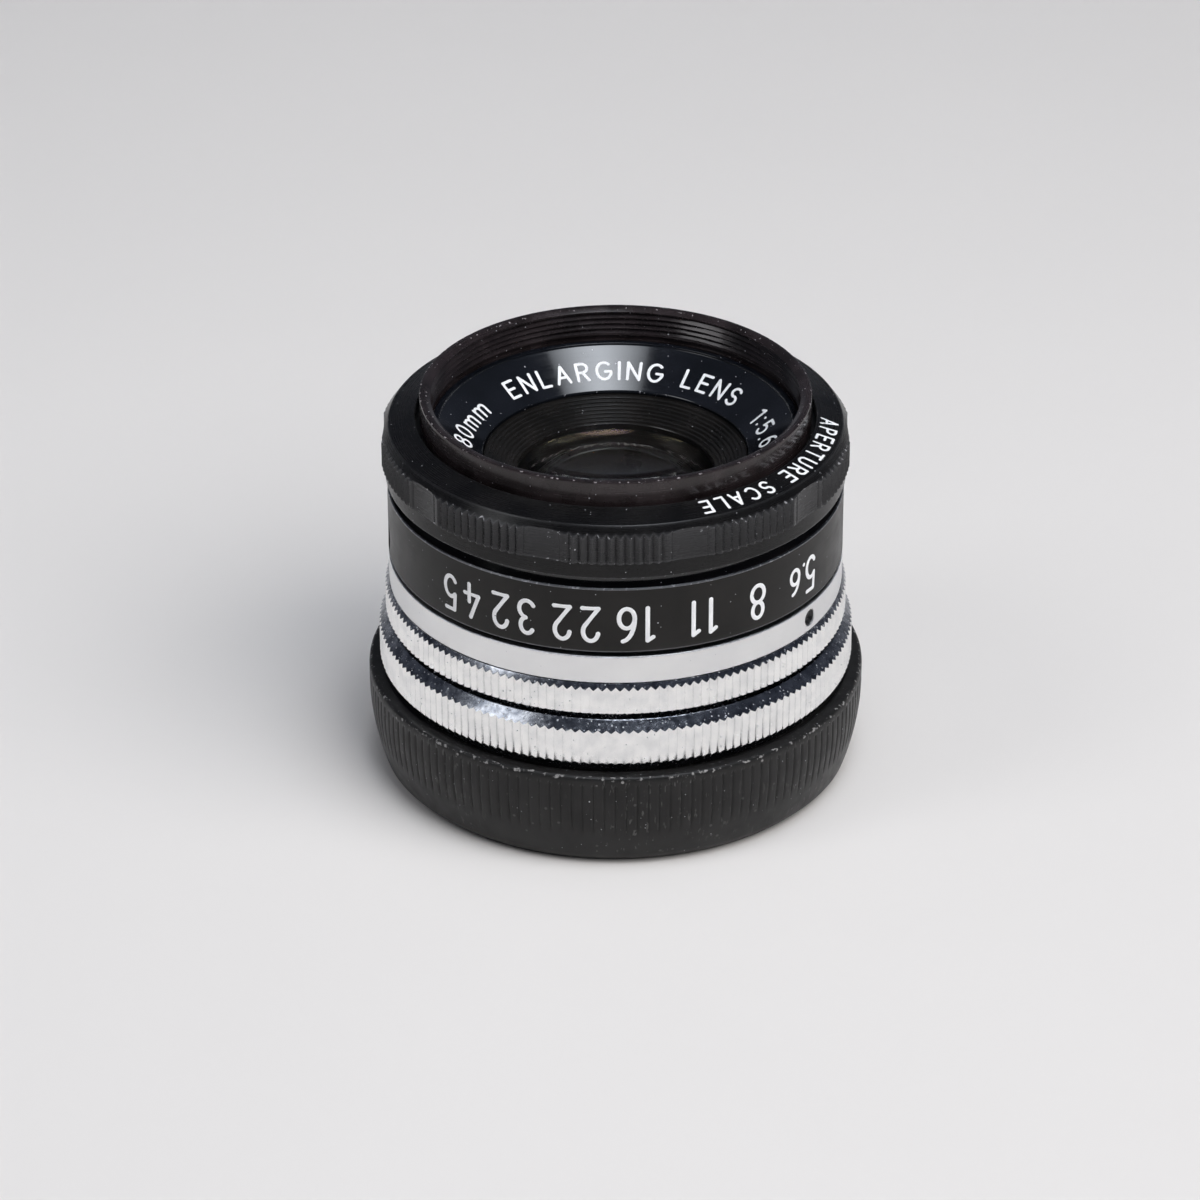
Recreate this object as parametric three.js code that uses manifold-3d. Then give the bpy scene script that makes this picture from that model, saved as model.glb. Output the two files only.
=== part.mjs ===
// An 80 mm f/5.6 enlarging lens, standing mount down in its screw-on rear cap.
// Millimetres, +Z up along the optical axis, origin at the centre of the cap's underside.
// Angles are measured anticlockwise from the front of the object (-Y), seen from above.
import * as THREE from "three";
import { mergeVertices } from "three/addons/utils/BufferGeometryUtils.js";
import Module from "manifold-3d";

const wasm = await Module();
wasm.setup();

// ---- Driving dimensions -------------------------------------------------------------------

// Facets of a full turn: large rings, lens elements, small screws and pins.
const RING_FACETS = 36;
const GLASS_FACETS = 24;
const PIN_FACETS = 8;
const DOME_STEPS = 3;

// Clearances.
const SEAT_GAP = 0.05; // between pieces that rest on each other
const RUN_GAP = 0.15; // radial, between a turning ring and the piece it turns on
const THREAD_GAP = 0.1; // radial, between the crests of mating threads
const CEMENT_GAP = 0.03; // between cemented elements
const HOLE_GAP = 0.2; // radial, between a screw and its plain hole

// Mount: a flange with a threaded tube below it, 39 mm over the thread.
const MOUNT_AIR = 2; // from the cap's floor to the end of the tube
const THREAD_RADIUS = 19.5;
const THREAD_CHAMFER = 0.5;
const BARREL_STEP = 0.3; // from the thread's radius in to the barrel's
const SLEEVE_WALL = 2.2; // from the barrel's radius out to the band's and the index ring's
const FLANGE_EDGE = 0.4; // the flange's chamfer, out from the index ring
const FLANGE_KNURL = 2.43;
const FLANGE_SHOULDER = 0.58;

// Lock ring on the mount's thread.
const LOCK_STEP = 0.65; // out from the flange's radius
const LOCK_KNURL = 3.07;
const LOCK_UPPER_BEVEL = 1.03;
const LOCK_LOWER_BEVEL = 1.47;
const LOCK_BEVEL_DEPTH = 0.95;
const LOCK_GAP = 0.65; // from the ring's top to the flange

// Rear cap.
const CAP_STEP = 1.05; // out from the lock ring's radius
const CAP_TAPER = 1.6; // from the wall in to the foot
const CAP_EDGE = 0.9; // rounding between the wall and the underside
const CAP_HEIGHT = 10;
const CAP_BASE = 1.6;
const CAP_LAND = 1.45; // width of the rim round the recess
const CAP_RECESS = 0.4;

// Index ring.
const INDEX_HEIGHT = 2.75;
const INDEX_DOT_RADIUS = 0.8;
const INDEX_DOT_DEPTH = 0.5;
const INDEX_DOT_ANGLE = 57.2;

// Main barrel: a stepped tube with a floor for the iris.
const CHAMBER_WALL = 2;
const CHAMBER_FLOOR = 0.82; // above the flange
const CHAMBER_AIR = 0.11; // above the cam's clip
const MOUTH_WALL = 1.45;
const FLOOR_THICKNESS = 1.85;
const FLOOR_BORE = 10.7;
const TAIL_STEP = 3.9; // from the thread's radius in to the tail's
const TAIL_WALL = 1.2;
const TAIL_INSET = 0.5; // from the end of the mount's tube

// Scale sleeve, which carries the f-numbers.
const SLEEVE_GAP = 0.46; // above the index ring
const BAND_HEIGHT = 6.65;
const BAND_CHAMFER = 0.15;
const NECK_STEP = 0.8; // from the band's radius in to the neck's
const NECK_HEIGHT = 4.2;

// Grip ring.
const GRIP_GAP = 1.11; // above the band
const GRIP_STEP = 0.55; // out from the band's radius
const GRIP_SKIRT = 1.6;
const GRIP_KNURL = 2.6;
const GRIP_EDGE = 0.75; // the chamfer's depth
const GRIP_EDGE_HEIGHT = 1.04;
const GRIP_MOUTH_GAP = 0.45; // round the filter rim
const GRIP_CONE_RISE = 0.62;
const GRIP_LIP = 1.1;
const SCALLOPS = 10;
const SCALLOP_RADIUS = 18;
const SCALLOP_DEPTH = 0.38;
const SCALLOP_FACETS = 60;

// Filter rim and name ring.
const RIM_STEP = 0.95; // from the barrel's radius in to the rim's
const RIM_WALL = 1.05;
const RIM_AIR = 0.9; // from the front cell's retainer to the rim's skirt
const RIM_HEIGHT = 3.65; // above the barrel
const RIM_SKIRT = 3.8;
const RIM_LIP_WIDTH = 1;
const RIM_LIP = 0.45;
const NAME_LEDGE = 0.65; // from the rim's bore in to the cone
const NAME_CONE_DROP = 2.85;
const NAME_EDGE = 0.2;
const NAME_INNER_EDGE = 0.6;

// Front cell and its glass.
const CELL_FLANGE = 1.8;
const CELL_TUBE_RADIUS = 10.4;
const CELL_TUBE_AIR = 0.13; // above the cam's underside
const CELL_TOP_RADIUS = 12.3;
const CELL_TOP = 1.2;
const CELL_LIP = 0.3;
const CELL_LIP_RADIUS = 7.1;
const RETAINER_HEIGHT = 1.75;
const RETAINER_BORE = 14.5;
const BAFFLE_GAP = 0.1; // round the baffle, inside the name ring
const BAFFLE_MOUTH = 9.4;
const BAFFLE_LIP = 0.6;
const BAFFLE_HEIGHT = 2.4;
const FRONT_GLASS_RADIUS = 9.75;
const INNER_GLASS_RADIUS = 7.6;
const FRONT_SEAT = 0.6; // the doublet's seat, below the cell's flange
const CROWN_EDGE = 0.95;
const FLINT_EDGE = 2.52;
const CROWN_FRONT_CURVE = 28;
const CEMENT_CURVE = 70;
const FLINT_REAR_CURVE = 45;
const MENISCUS_EDGE = 0.85;
const MENISCUS_OUTER_CURVE = 22;
const MENISCUS_INNER_CURVE = 30;
const INNER_RING_WALL = 0.7;
const INNER_RING_HEIGHT = 1.2;

// Rear cell and its glass.
const REAR_CELL_INSET = 0.7; // from the end of the mount's tube
const REAR_GLASS_RADIUS = 10.2;
const REAR_GLASS_INSET = 2.17; // the rear edge of the last element, from the end of the tube
const REAR_CROWN_EDGE = 1.83;
const REAR_FLINT_EDGE = 3.57;
const REAR_FACE_CURVE = 60;
const REAR_INNER_CURVE = 58;
const REAR_SHELF = 1.3; // between the two bores of the cell, below its shoulder
const REAR_RING_WALL = 0.8;
const REAR_RING_HEIGHT = 1.1;
const SPACER_WALL = 1.6;

// Iris.
const BLADES = 8;
const BASE_PLATE = 0.8;
const BASE_STOP_RADIUS = 6.9;
const BLADE_THICKNESS = 0.12;
const BLADE_PITCH = 0.2;
const BLADE_AIR = 0.15;
const BLADE_RADIUS = 7; // inner edge of the blades, wide open
const BLADE_WIDTH = 3.9;
const BLADE_SWEEP = 112;
const BLADE_STEPS = 12;
const PIVOT_CIRCLE = 11.6;
const PIVOT_RADIUS = 0.3;
const EAR_LENGTH = 5.5;
const EAR_RADIUS = 0.75;
const DRIVE_RADIUS = 0.25;
const PIN_GAP = 0.1;
const RING_TRAVEL = 96; // degrees from f/5.6 to f/45
const SMALLEST_RADIUS = 0.82; // of the opening at f/45
const CAM_AIR = 0.35;
const CAM_PLATE = 0.8;
const CAM_BORE = 11.2;
const CAM_RIM_WALL = 1.3;
const CAM_RIM_HEIGHT = 2.6;
const SLOT_STEPS = 12;
const CLIP_AIR = 0.12;
const CLIP_THICKNESS = 0.5;
const CLIP_WIDTH = 1.4;
const CLIP_OPENING = 20;

// Coupling screw from the sleeve to the cam ring.
const COUPLING_ANGLE = -85;
const COUPLING_RISE = 1.28; // above the cam's underside
const COUPLING_SHANK = 0.8;
const COUPLING_HEAD = 1.25;
const COUPLING_HEAD_HEIGHT = 0.7;
const COUPLING_POCKET = 1.5;
const COUPLING_POCKET_DEPTH = 1.5;

// Click stop.
const DETENT_ANGLE = 160;
const DETENT_STEP = 1.1; // out from the barrel's radius
const DETENT_HOLE = 0.68;
const DETENT_DEPTH = 2.2;
const DETENT_BALL = 0.55;
const SPRING_WIRE = 0.1;
const SPRING_RADIUS = 0.42;
const SPRING_TURNS = 3;

// ---- Radii worked out from the sizes above ------------------------------------------------

const barrelRadius = THREAD_RADIUS - BARREL_STEP;
const bandRadius = barrelRadius + SLEEVE_WALL;
const indexRadius = bandRadius;
const flangeRadius = indexRadius + FLANGE_EDGE;
const lockRadius = flangeRadius + LOCK_STEP;
const capRadius = lockRadius + CAP_STEP;
const capRecessRadius = capRadius - CAP_LAND;
const chamberRadius = barrelRadius - CHAMBER_WALL;
const mouthRadius = barrelRadius - MOUTH_WALL;
const tailRadius = THREAD_RADIUS - TAIL_STEP;
const tailBore = tailRadius - TAIL_WALL;
const rearCellRadius = tailBore - THREAD_GAP;
const sleeveBore = barrelRadius + RUN_GAP;
const neckRadius = bandRadius - NECK_STEP;
const gripRadius = bandRadius + GRIP_STEP;
const rimRadius = barrelRadius - RIM_STEP;
const rimBore = rimRadius - RIM_WALL;
const gripMouthRadius = rimRadius + GRIP_MOUTH_GAP;
const nameConeOuter = rimBore - NAME_LEDGE;
const baffleRadius = CELL_TOP_RADIUS;
const nameConeInner = baffleRadius + BAFFLE_GAP;
const camRadius = chamberRadius - RUN_GAP;
const detentCircle = barrelRadius + DETENT_STEP;

// ---- Heights worked out from the sizes above ----------------------------------------------

const mountEnd = CAP_BASE + MOUNT_AIR;
const lockBottom = CAP_HEIGHT - CAP_RECESS + SEAT_GAP;
const lockKnurlBottom = lockBottom + LOCK_LOWER_BEVEL;
const lockKnurlTop = lockKnurlBottom + LOCK_KNURL;
const lockTop = lockKnurlTop + LOCK_UPPER_BEVEL;
const flangeBottom = lockTop + LOCK_GAP;
const flangeKnurlTop = flangeBottom + FLANGE_KNURL;
const flangeTop = flangeKnurlTop + FLANGE_SHOULDER;
const barrelFoot = flangeTop + SEAT_GAP;
const chamberFloor = barrelFoot + CHAMBER_FLOOR;
const floorUnderside = chamberFloor - FLOOR_THICKNESS;
const indexTop = barrelFoot + INDEX_HEIGHT;
const bandBottom = indexTop + SLEEVE_GAP;
const bandTop = bandBottom + BAND_HEIGHT;
const neckTop = bandTop + NECK_HEIGHT;
const gripBottom = bandTop + GRIP_GAP;
const gripKnurlBottom = gripBottom + GRIP_SKIRT;
const gripKnurlTop = gripKnurlBottom + GRIP_KNURL;
const gripEdge = gripKnurlTop + GRIP_EDGE_HEIGHT;

const plateBottom = chamberFloor + SEAT_GAP;
const plateTop = plateBottom + BASE_PLATE;
const bladeBottom = (index) => plateTop + BLADE_AIR + index * BLADE_PITCH;
const camBottom = bladeBottom(BLADES - 1) + BLADE_THICKNESS + CAM_AIR;
const camPlateTop = camBottom + CAM_PLATE;
const camTop = camBottom + CAM_RIM_HEIGHT;
const couplingHeight = camBottom + COUPLING_RISE;
const clipBottom = camTop + CLIP_AIR;
const chamberTop = clipBottom + CLIP_THICKNESS + CHAMBER_AIR;

const cellBottom = chamberTop + SEAT_GAP;
const cellFlangeTop = cellBottom + CELL_FLANGE;
const cellTop = cellFlangeTop + CELL_TOP;
const cellTubeEnd = camBottom + CELL_TUBE_AIR;
const retainerBottom = cellFlangeTop + SEAT_GAP;
const baffleBottom = cellTop + SEAT_GAP;
const barrelTop = retainerBottom + RETAINER_HEIGHT + RIM_AIR + RIM_SKIRT;
const rimTop = barrelTop + RIM_HEIGHT;
// The grip's lip passes over the barrel, whichever of the two is taller.
const gripLipBottom = Math.max(gripEdge + GRIP_CONE_RISE - GRIP_LIP, barrelTop + RUN_GAP);
const gripTop = gripLipBottom + GRIP_LIP;
const bladeTurn = 2 * Math.asin((BLADE_RADIUS - SMALLEST_RADIUS) / (2 * PIVOT_CIRCLE));

// ---- Geometry helpers ---------------------------------------------------------------------

/** Point on a circle, by its angle from the front of the object in degrees. */
function polar(radius, degrees) {
  const angle = THREE.MathUtils.degToRad(degrees - 90);
  return new THREE.Vector2(radius * Math.cos(angle), radius * Math.sin(angle));
}

/** Keeps only welded positions, drops empty triangles and turns the faces outward. */
function closed(geometry) {
  geometry.deleteAttribute("normal");
  geometry.deleteAttribute("uv");
  const welded = mergeVertices(geometry, 1e-5);
  const corners = welded.getAttribute("position");
  const kept = [];
  let volume = 0;
  const [a, b, c] = [new THREE.Vector3(), new THREE.Vector3(), new THREE.Vector3()];
  for (let i = 0; i < welded.index.count; i += 3) {
    const face = [0, 1, 2].map((step) => welded.index.getX(i + step));
    if (new Set(face).size < 3) continue;
    a.fromBufferAttribute(corners, face[0]);
    b.fromBufferAttribute(corners, face[1]);
    c.fromBufferAttribute(corners, face[2]);
    volume += a.dot(b.cross(c));
    kept.push(face);
  }
  const faces = volume < 0 ? kept.map((face) => face.reverse()) : kept;
  welded.setIndex(faces.flat());
  return welded;
}

/** Solid of revolution about Z from a closed outline of [radius, height] points. */
function turned(outline, facets = RING_FACETS) {
  const points = outline.map(([radius, height]) => new THREE.Vector2(radius, height));
  points.push(points[0].clone());
  const geometry = new THREE.LatheGeometry(points, facets);
  geometry.rotateX(Math.PI / 2);
  return closed(geometry);
}

/** Plain ring of rectangular section. */
function plainRing(bore, radius, bottom, top, facets = RING_FACETS) {
  return turned([[bore, bottom], [radius, bottom], [radius, top], [bore, top]], facets);
}

/** Flat piece of a THREE.Shape in the XY plane, from one height to another. */
function flat(shape, bottom, top, curveSegments = 12) {
  const geometry = new THREE.ExtrudeGeometry(shape, {
    depth: top - bottom,
    bevelEnabled: false,
    curveSegments,
  });
  geometry.translate(0, 0, bottom);
  return closed(geometry);
}

/** Upright cylinder at a place in the XY plane. */
function post(place, radius, bottom, top, facets = PIN_FACETS) {
  const geometry = new THREE.CylinderGeometry(radius, radius, top - bottom, facets);
  geometry.rotateX(Math.PI / 2);
  geometry.translate(place.x, place.y, (bottom + top) / 2);
  return closed(geometry);
}

/** Cylinder pointing away from the axis, between two radii, at an angle and a height. */
function spoke(radius, from, to, degrees, height, facets = 16) {
  const geometry = new THREE.CylinderGeometry(radius, radius, to - from, facets);
  geometry.translate(0, -(from + to) / 2, 0);
  geometry.rotateZ(THREE.MathUtils.degToRad(degrees));
  geometry.translate(0, 0, height);
  return closed(geometry);
}

function toManifold(geometry) {
  const mesh = new wasm.Mesh({
    numProp: 3,
    vertProperties: new Float32Array(geometry.getAttribute("position").array),
    triVerts: new Uint32Array(geometry.index.array),
  });
  return new wasm.Manifold(mesh);
}

function fromManifold(manifold) {
  const mesh = manifold.getMesh();
  const geometry = new THREE.BufferGeometry();
  geometry.setAttribute("position", new THREE.BufferAttribute(mesh.vertProperties, 3));
  geometry.setIndex(new THREE.BufferAttribute(mesh.triVerts, 1));
  return geometry;
}

function cut(base, tools) {
  return fromManifold(tools.reduce((left, tool) => left.subtract(toManifold(tool)), toManifold(base)));
}

function join(base, pieces) {
  return fromManifold(pieces.reduce((sum, piece) => sum.add(toManifold(piece)), toManifold(base)));
}

/** Height that a spherical face of a given curve drops by at a radius. */
function sag(curve, radius) {
  return curve - Math.sqrt(curve * curve - radius * radius);
}

/** Points of a lens face from the axis to its edge. The sign of lift bends it up or down. */
function face(edgeRadius, edgeHeight, curve, lift) {
  const rise = sag(curve, edgeRadius);
  const steps = Array.from({ length: DOME_STEPS + 1 }, (_, step) => (edgeRadius * step) / DOME_STEPS);
  return steps.map((radius) => [radius, edgeHeight + lift * (rise - sag(curve, radius))]);
}

/** Lens element between two faces: [edge height, curve, lift] for the top and the bottom. */
function element(radius, top, bottom) {
  const upper = face(radius, ...top);
  const lower = face(radius, ...bottom);
  return turned([...lower, ...upper.reverse()], GLASS_FACETS);
}

/** Arc-shaped opening with square ends, used as a cutting tool. */
function sector(inner, outer, from, to, bottom, top, steps = 24) {
  const shape = new THREE.Shape();
  const angles = Array.from({ length: steps + 1 }, (_, step) => from + ((to - from) * step) / steps);
  const outline = [
    ...angles.map((angle) => polar(outer, angle)),
    ...angles.reverse().map((angle) => polar(inner, angle)),
  ];
  shape.setFromPoints(outline);
  return flat(shape, bottom, top);
}

// ---- Finishes -----------------------------------------------------------------------------

const finishes = {
  blackAnodised: { color: 0x17181b, roughness: 0.32, metalness: 0.6 },
  blackMatt: { color: 0x101012, roughness: 0.7, metalness: 0.2 },
  satinSilver: { color: 0xc9cbcc, roughness: 0.38, metalness: 0.9 },
  chrome: { color: 0xd6d8da, roughness: 0.22, metalness: 1 },
  steel: { color: 0x8d9094, roughness: 0.35, metalness: 1 },
  bladeSteel: { color: 0x2b2c2f, roughness: 0.55, metalness: 0.8 },
  glass: { color: 0xb9c4d6, roughness: 0.03, metalness: 0 },
  capPlastic: { color: 0x1b1b1c, roughness: 0.6, metalness: 0 },
};

const lens = new THREE.Group();

/** Adds one piece to the lens under its own name, with a material of its own. */
function piece(name, geometry, finish) {
  const mesh = new THREE.Mesh(geometry, new THREE.MeshStandardMaterial(finishes[finish]));
  mesh.name = name;
  lens.add(mesh);
}

// ---- Cap, mount and lock ring -------------------------------------------------------------

function rearCap() {
  const boreRadius = THREAD_RADIUS + THREAD_GAP;
  const foot = capRadius - CAP_TAPER;
  const slope = (height) => foot + CAP_TAPER * Math.sqrt(height / CAP_HEIGHT);
  const outline = [
    [0, 0],
    [foot - CAP_EDGE, 0],
    [foot - 0.3 * CAP_EDGE, 0.25 * CAP_EDGE],
    [slope(CAP_EDGE), CAP_EDGE],
    [slope(0.35 * CAP_HEIGHT), 0.35 * CAP_HEIGHT],
    [capRadius, 0.8 * CAP_HEIGHT],
    [capRadius, CAP_HEIGHT - SEAT_GAP],
    [capRadius - SEAT_GAP, CAP_HEIGHT],
    [capRecessRadius, CAP_HEIGHT],
    [capRecessRadius, CAP_HEIGHT - CAP_RECESS],
    [boreRadius, CAP_HEIGHT - CAP_RECESS],
    [boreRadius, CAP_BASE],
    [0, CAP_BASE],
  ];
  piece("rear_cap", turned(outline), "capPlastic");
}

function mountFlange() {
  const bore = tailRadius + THREAD_GAP;
  const outline = [
    [bore, mountEnd],
    [THREAD_RADIUS - THREAD_CHAMFER, mountEnd],
    [THREAD_RADIUS, mountEnd + THREAD_CHAMFER],
    [THREAD_RADIUS, flangeBottom],
    [flangeRadius, flangeBottom],
    [flangeRadius, flangeKnurlTop],
    [indexRadius, flangeTop],
    [bore, flangeTop],
  ];
  piece("mount_flange", turned(outline), "chrome");
}

function lockRing() {
  const bore = THREAD_RADIUS + THREAD_GAP;
  const face = lockRadius - LOCK_BEVEL_DEPTH;
  const outline = [
    [bore, lockBottom],
    [face, lockBottom],
    [lockRadius, lockKnurlBottom],
    [lockRadius, lockKnurlTop],
    [face, lockTop],
    [bore, lockTop],
  ];
  piece("lock_ring", turned(outline), "chrome");
}

function indexRing() {
  const ring = plainRing(barrelRadius + SEAT_GAP, indexRadius, barrelFoot, indexTop);
  const middle = (barrelFoot + indexTop) / 2;
  const overshoot = 0.5;
  const dot = spoke(INDEX_DOT_RADIUS, indexRadius - INDEX_DOT_DEPTH, indexRadius + overshoot,
    INDEX_DOT_ANGLE, middle, PIN_FACETS);
  const place = polar(detentCircle, DETENT_ANGLE);
  const well = post(place, DETENT_HOLE, indexTop - DETENT_DEPTH, indexTop + overshoot, 12);
  piece("index_ring", cut(ring, [dot, well]), "satinSilver");
}

// ---- Barrel -------------------------------------------------------------------------------

function mainBarrel() {
  const outline = [
    [tailBore, mountEnd + TAIL_INSET],
    [tailRadius, mountEnd + TAIL_INSET],
    [tailRadius, barrelFoot],
    [barrelRadius, barrelFoot],
    [barrelRadius, barrelTop],
    [mouthRadius, barrelTop],
    [mouthRadius, chamberTop],
    [chamberRadius, chamberTop],
    [chamberRadius, chamberFloor],
    [FLOOR_BORE, chamberFloor],
    [FLOOR_BORE, floorUnderside],
    [tailBore, floorUnderside],
  ];
  const halfSlot = COUPLING_SHANK + HOLE_GAP;
  const halfAngle = THREE.MathUtils.radToDeg((halfSlot + HOLE_GAP) / chamberRadius);
  const overshoot = 1;
  const slot = sector(chamberRadius - overshoot, barrelRadius + overshoot,
    COUPLING_ANGLE - halfAngle, COUPLING_ANGLE + RING_TRAVEL + halfAngle,
    couplingHeight - halfSlot, couplingHeight + halfSlot);
  piece("main_barrel", cut(turned(outline), [slot]), "blackMatt");
}

function filterRim() {
  const skirt = mouthRadius - SEAT_GAP;
  const skirtBottom = barrelTop - RIM_SKIRT;
  const outline = [
    [rimBore - RIM_LIP_WIDTH, skirtBottom],
    [skirt, skirtBottom],
    [skirt, barrelTop + SEAT_GAP],
    [rimRadius, barrelTop + SEAT_GAP],
    [rimRadius, rimTop],
    [rimBore, rimTop],
    [rimBore, skirtBottom + RIM_LIP],
    [rimBore - RIM_LIP_WIDTH, skirtBottom + RIM_LIP],
  ];
  piece("filter_rim", turned(outline), "blackAnodised");
}

function nameRing() {
  const radius = rimBore - SEAT_GAP;
  const bottom = barrelTop - RIM_SKIRT + RIM_LIP + SEAT_GAP;
  const coneBottom = bottom + NAME_INNER_EDGE;
  const coneTop = coneBottom + NAME_CONE_DROP;
  const outline = [
    [nameConeInner, bottom],
    [radius, bottom],
    [radius, coneTop + NAME_EDGE],
    [nameConeOuter, coneTop + NAME_EDGE],
    [nameConeOuter, coneTop],
    [nameConeInner, coneBottom],
  ];
  piece("name_ring", turned(outline), "blackAnodised");
}

// ---- Aperture ring ------------------------------------------------------------------------

function scaleSleeve() {
  const outline = [
    [sleeveBore, bandBottom],
    [bandRadius - BAND_CHAMFER, bandBottom],
    [bandRadius, bandBottom + BAND_CHAMFER],
    [bandRadius, bandTop - BAND_CHAMFER],
    [bandRadius - BAND_CHAMFER, bandTop],
    [neckRadius, bandTop],
    [neckRadius, neckTop],
    [sleeveBore, neckTop],
  ];
  const pocketFloor = bandRadius - COUPLING_POCKET_DEPTH;
  const overshoot = 1;
  const pocket = spoke(COUPLING_POCKET, pocketFloor, bandRadius + overshoot, COUPLING_ANGLE, couplingHeight);
  const hole = spoke(COUPLING_SHANK + HOLE_GAP, sleeveBore - overshoot, bandRadius,
    COUPLING_ANGLE, couplingHeight);
  piece("scale_sleeve", cut(turned(outline), [pocket, hole]), "blackAnodised");
}

function gripRing() {
  const neckBore = neckRadius + SEAT_GAP;
  const seat = neckTop + SEAT_GAP;
  const outline = [
    [neckBore, gripBottom],
    [gripRadius - SCALLOP_DEPTH, gripBottom],
    [gripRadius - SCALLOP_DEPTH, gripKnurlBottom],
    [gripRadius, gripKnurlBottom],
    [gripRadius, gripKnurlTop],
    [gripRadius - GRIP_EDGE, gripEdge],
    [gripMouthRadius, gripTop],
    [gripMouthRadius, gripLipBottom],
    [sleeveBore, gripLipBottom],
    [sleeveBore, seat],
    [neckBore, seat],
  ];
  const pitch = 360 / SCALLOPS;
  const overshoot = 1;
  const centre = gripRadius - SCALLOP_DEPTH + SCALLOP_RADIUS;
  const scoops = Array.from({ length: SCALLOPS }, (_, index) =>
    post(polar(centre, (index + 0.5) * pitch), SCALLOP_RADIUS, gripKnurlBottom - SEAT_GAP,
      gripEdge + overshoot, SCALLOP_FACETS));
  piece("grip_ring", cut(turned(outline), scoops), "blackAnodised");
}

function couplingScrew() {
  const tip = camRadius - CAM_RIM_WALL + HOLE_GAP;
  const headBottom = bandRadius - COUPLING_POCKET_DEPTH + SEAT_GAP;
  const headTop = headBottom + COUPLING_HEAD_HEIGHT;
  const slotWidth = 0.3;
  const slotDepth = 0.3;
  const shank = spoke(COUPLING_SHANK, tip, headTop - slotDepth, COUPLING_ANGLE, couplingHeight, 12);
  const head = spoke(COUPLING_HEAD, headBottom, headTop, COUPLING_ANGLE, couplingHeight, 12);
  const slot = new THREE.BoxGeometry(slotWidth, 2 * slotDepth, 2 * COUPLING_HEAD + 1);
  slot.translate(0, -headTop, 0);
  slot.rotateZ(THREE.MathUtils.degToRad(COUPLING_ANGLE));
  slot.translate(0, 0, couplingHeight);
  piece("coupling_screw", cut(join(head, [shank]), [closed(slot)]), "steel");
}

// ---- Iris ---------------------------------------------------------------------------------

/** Turns a flat point about another one. */
function swing(point, centre, angle) {
  return point.clone().rotateAround(centre, angle);
}

function irisBasePlate() {
  const holes = Array.from({ length: BLADES }, (_, index) =>
    post(polar(PIVOT_CIRCLE, (360 * index) / BLADES), PIVOT_RADIUS + PIN_GAP, plateBottom - 1, plateTop + 1));
  const plate = plainRing(BASE_STOP_RADIUS, chamberRadius - SEAT_GAP, plateBottom, plateTop);
  piece("iris_base_plate", cut(plate, holes), "blackMatt");
}

/** Outline of one blade: a crescent about the axis, with its pivot at angle 0 on the X axis. */
function bladeShape() {
  const middle = BLADE_RADIUS + BLADE_WIDTH / 2;
  const sweep = THREE.MathUtils.degToRad(BLADE_SWEEP);
  const onCircle = (radius, angle) => new THREE.Vector2(radius * Math.cos(angle), radius * Math.sin(angle));
  const arc = (radius, from, to, steps) => Array.from({ length: steps + 1 }, (_, step) =>
    onCircle(radius, from + ((to - from) * step) / steps));
  const tip = onCircle(middle, sweep);
  const round = arc(BLADE_WIDTH / 2, sweep, sweep + Math.PI, 6).map((point) => point.add(tip));
  const outer = arc(BLADE_RADIUS + BLADE_WIDTH, 0.16, sweep, BLADE_STEPS);
  const inner = arc(BLADE_RADIUS, sweep, 0, BLADE_STEPS);
  const ear = [
    new THREE.Vector2(PIVOT_CIRCLE - EAR_RADIUS, -0.6 * EAR_LENGTH),
    new THREE.Vector2(PIVOT_CIRCLE - EAR_RADIUS, -EAR_LENGTH),
    new THREE.Vector2(PIVOT_CIRCLE - 0.5 * EAR_RADIUS, -EAR_LENGTH - 0.85 * EAR_RADIUS),
    new THREE.Vector2(PIVOT_CIRCLE + 0.5 * EAR_RADIUS, -EAR_LENGTH - 0.85 * EAR_RADIUS),
    new THREE.Vector2(PIVOT_CIRCLE + EAR_RADIUS, -EAR_LENGTH),
    new THREE.Vector2(PIVOT_CIRCLE + EAR_RADIUS, 0.4 * EAR_RADIUS),
  ];
  return new THREE.Shape([...inner, ...ear, ...outer, ...round.slice(1, -1)]);
}

function irisBlade(index) {
  const turn = (2 * Math.PI * index) / BLADES - Math.PI / 2;
  const bottom = bladeBottom(index);
  const top = bottom + BLADE_THICKNESS;
  const overlap = 0.5 * BLADE_THICKNESS;
  const pivot = new THREE.Vector2(PIVOT_CIRCLE, 0);
  const drive = new THREE.Vector2(PIVOT_CIRCLE, -EAR_LENGTH);
  const pivotPin = post(pivot, PIVOT_RADIUS, plateBottom + PIN_GAP, bottom + overlap);
  const drivePin = post(drive, DRIVE_RADIUS, top - overlap, camPlateTop - PIN_GAP);
  const blade = join(flat(bladeShape(), bottom, top), [pivotPin, drivePin]);
  blade.rotateZ(turn);
  piece(`iris_blade_${index + 1}`, blade, "bladeSteel");
}

/** Path of a drive pin as the cam ring sees it, for the blade whose pivot is on the X axis. */
function slotPath(travel) {
  const pivot = new THREE.Vector2(PIVOT_CIRCLE, 0);
  const drive = new THREE.Vector2(PIVOT_CIRCLE, -EAR_LENGTH);
  const onBlade = swing(drive, pivot, (travel * bladeTurn) / RING_TRAVEL);
  return swing(onBlade, new THREE.Vector2(), -THREE.MathUtils.degToRad(travel));
}

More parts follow.
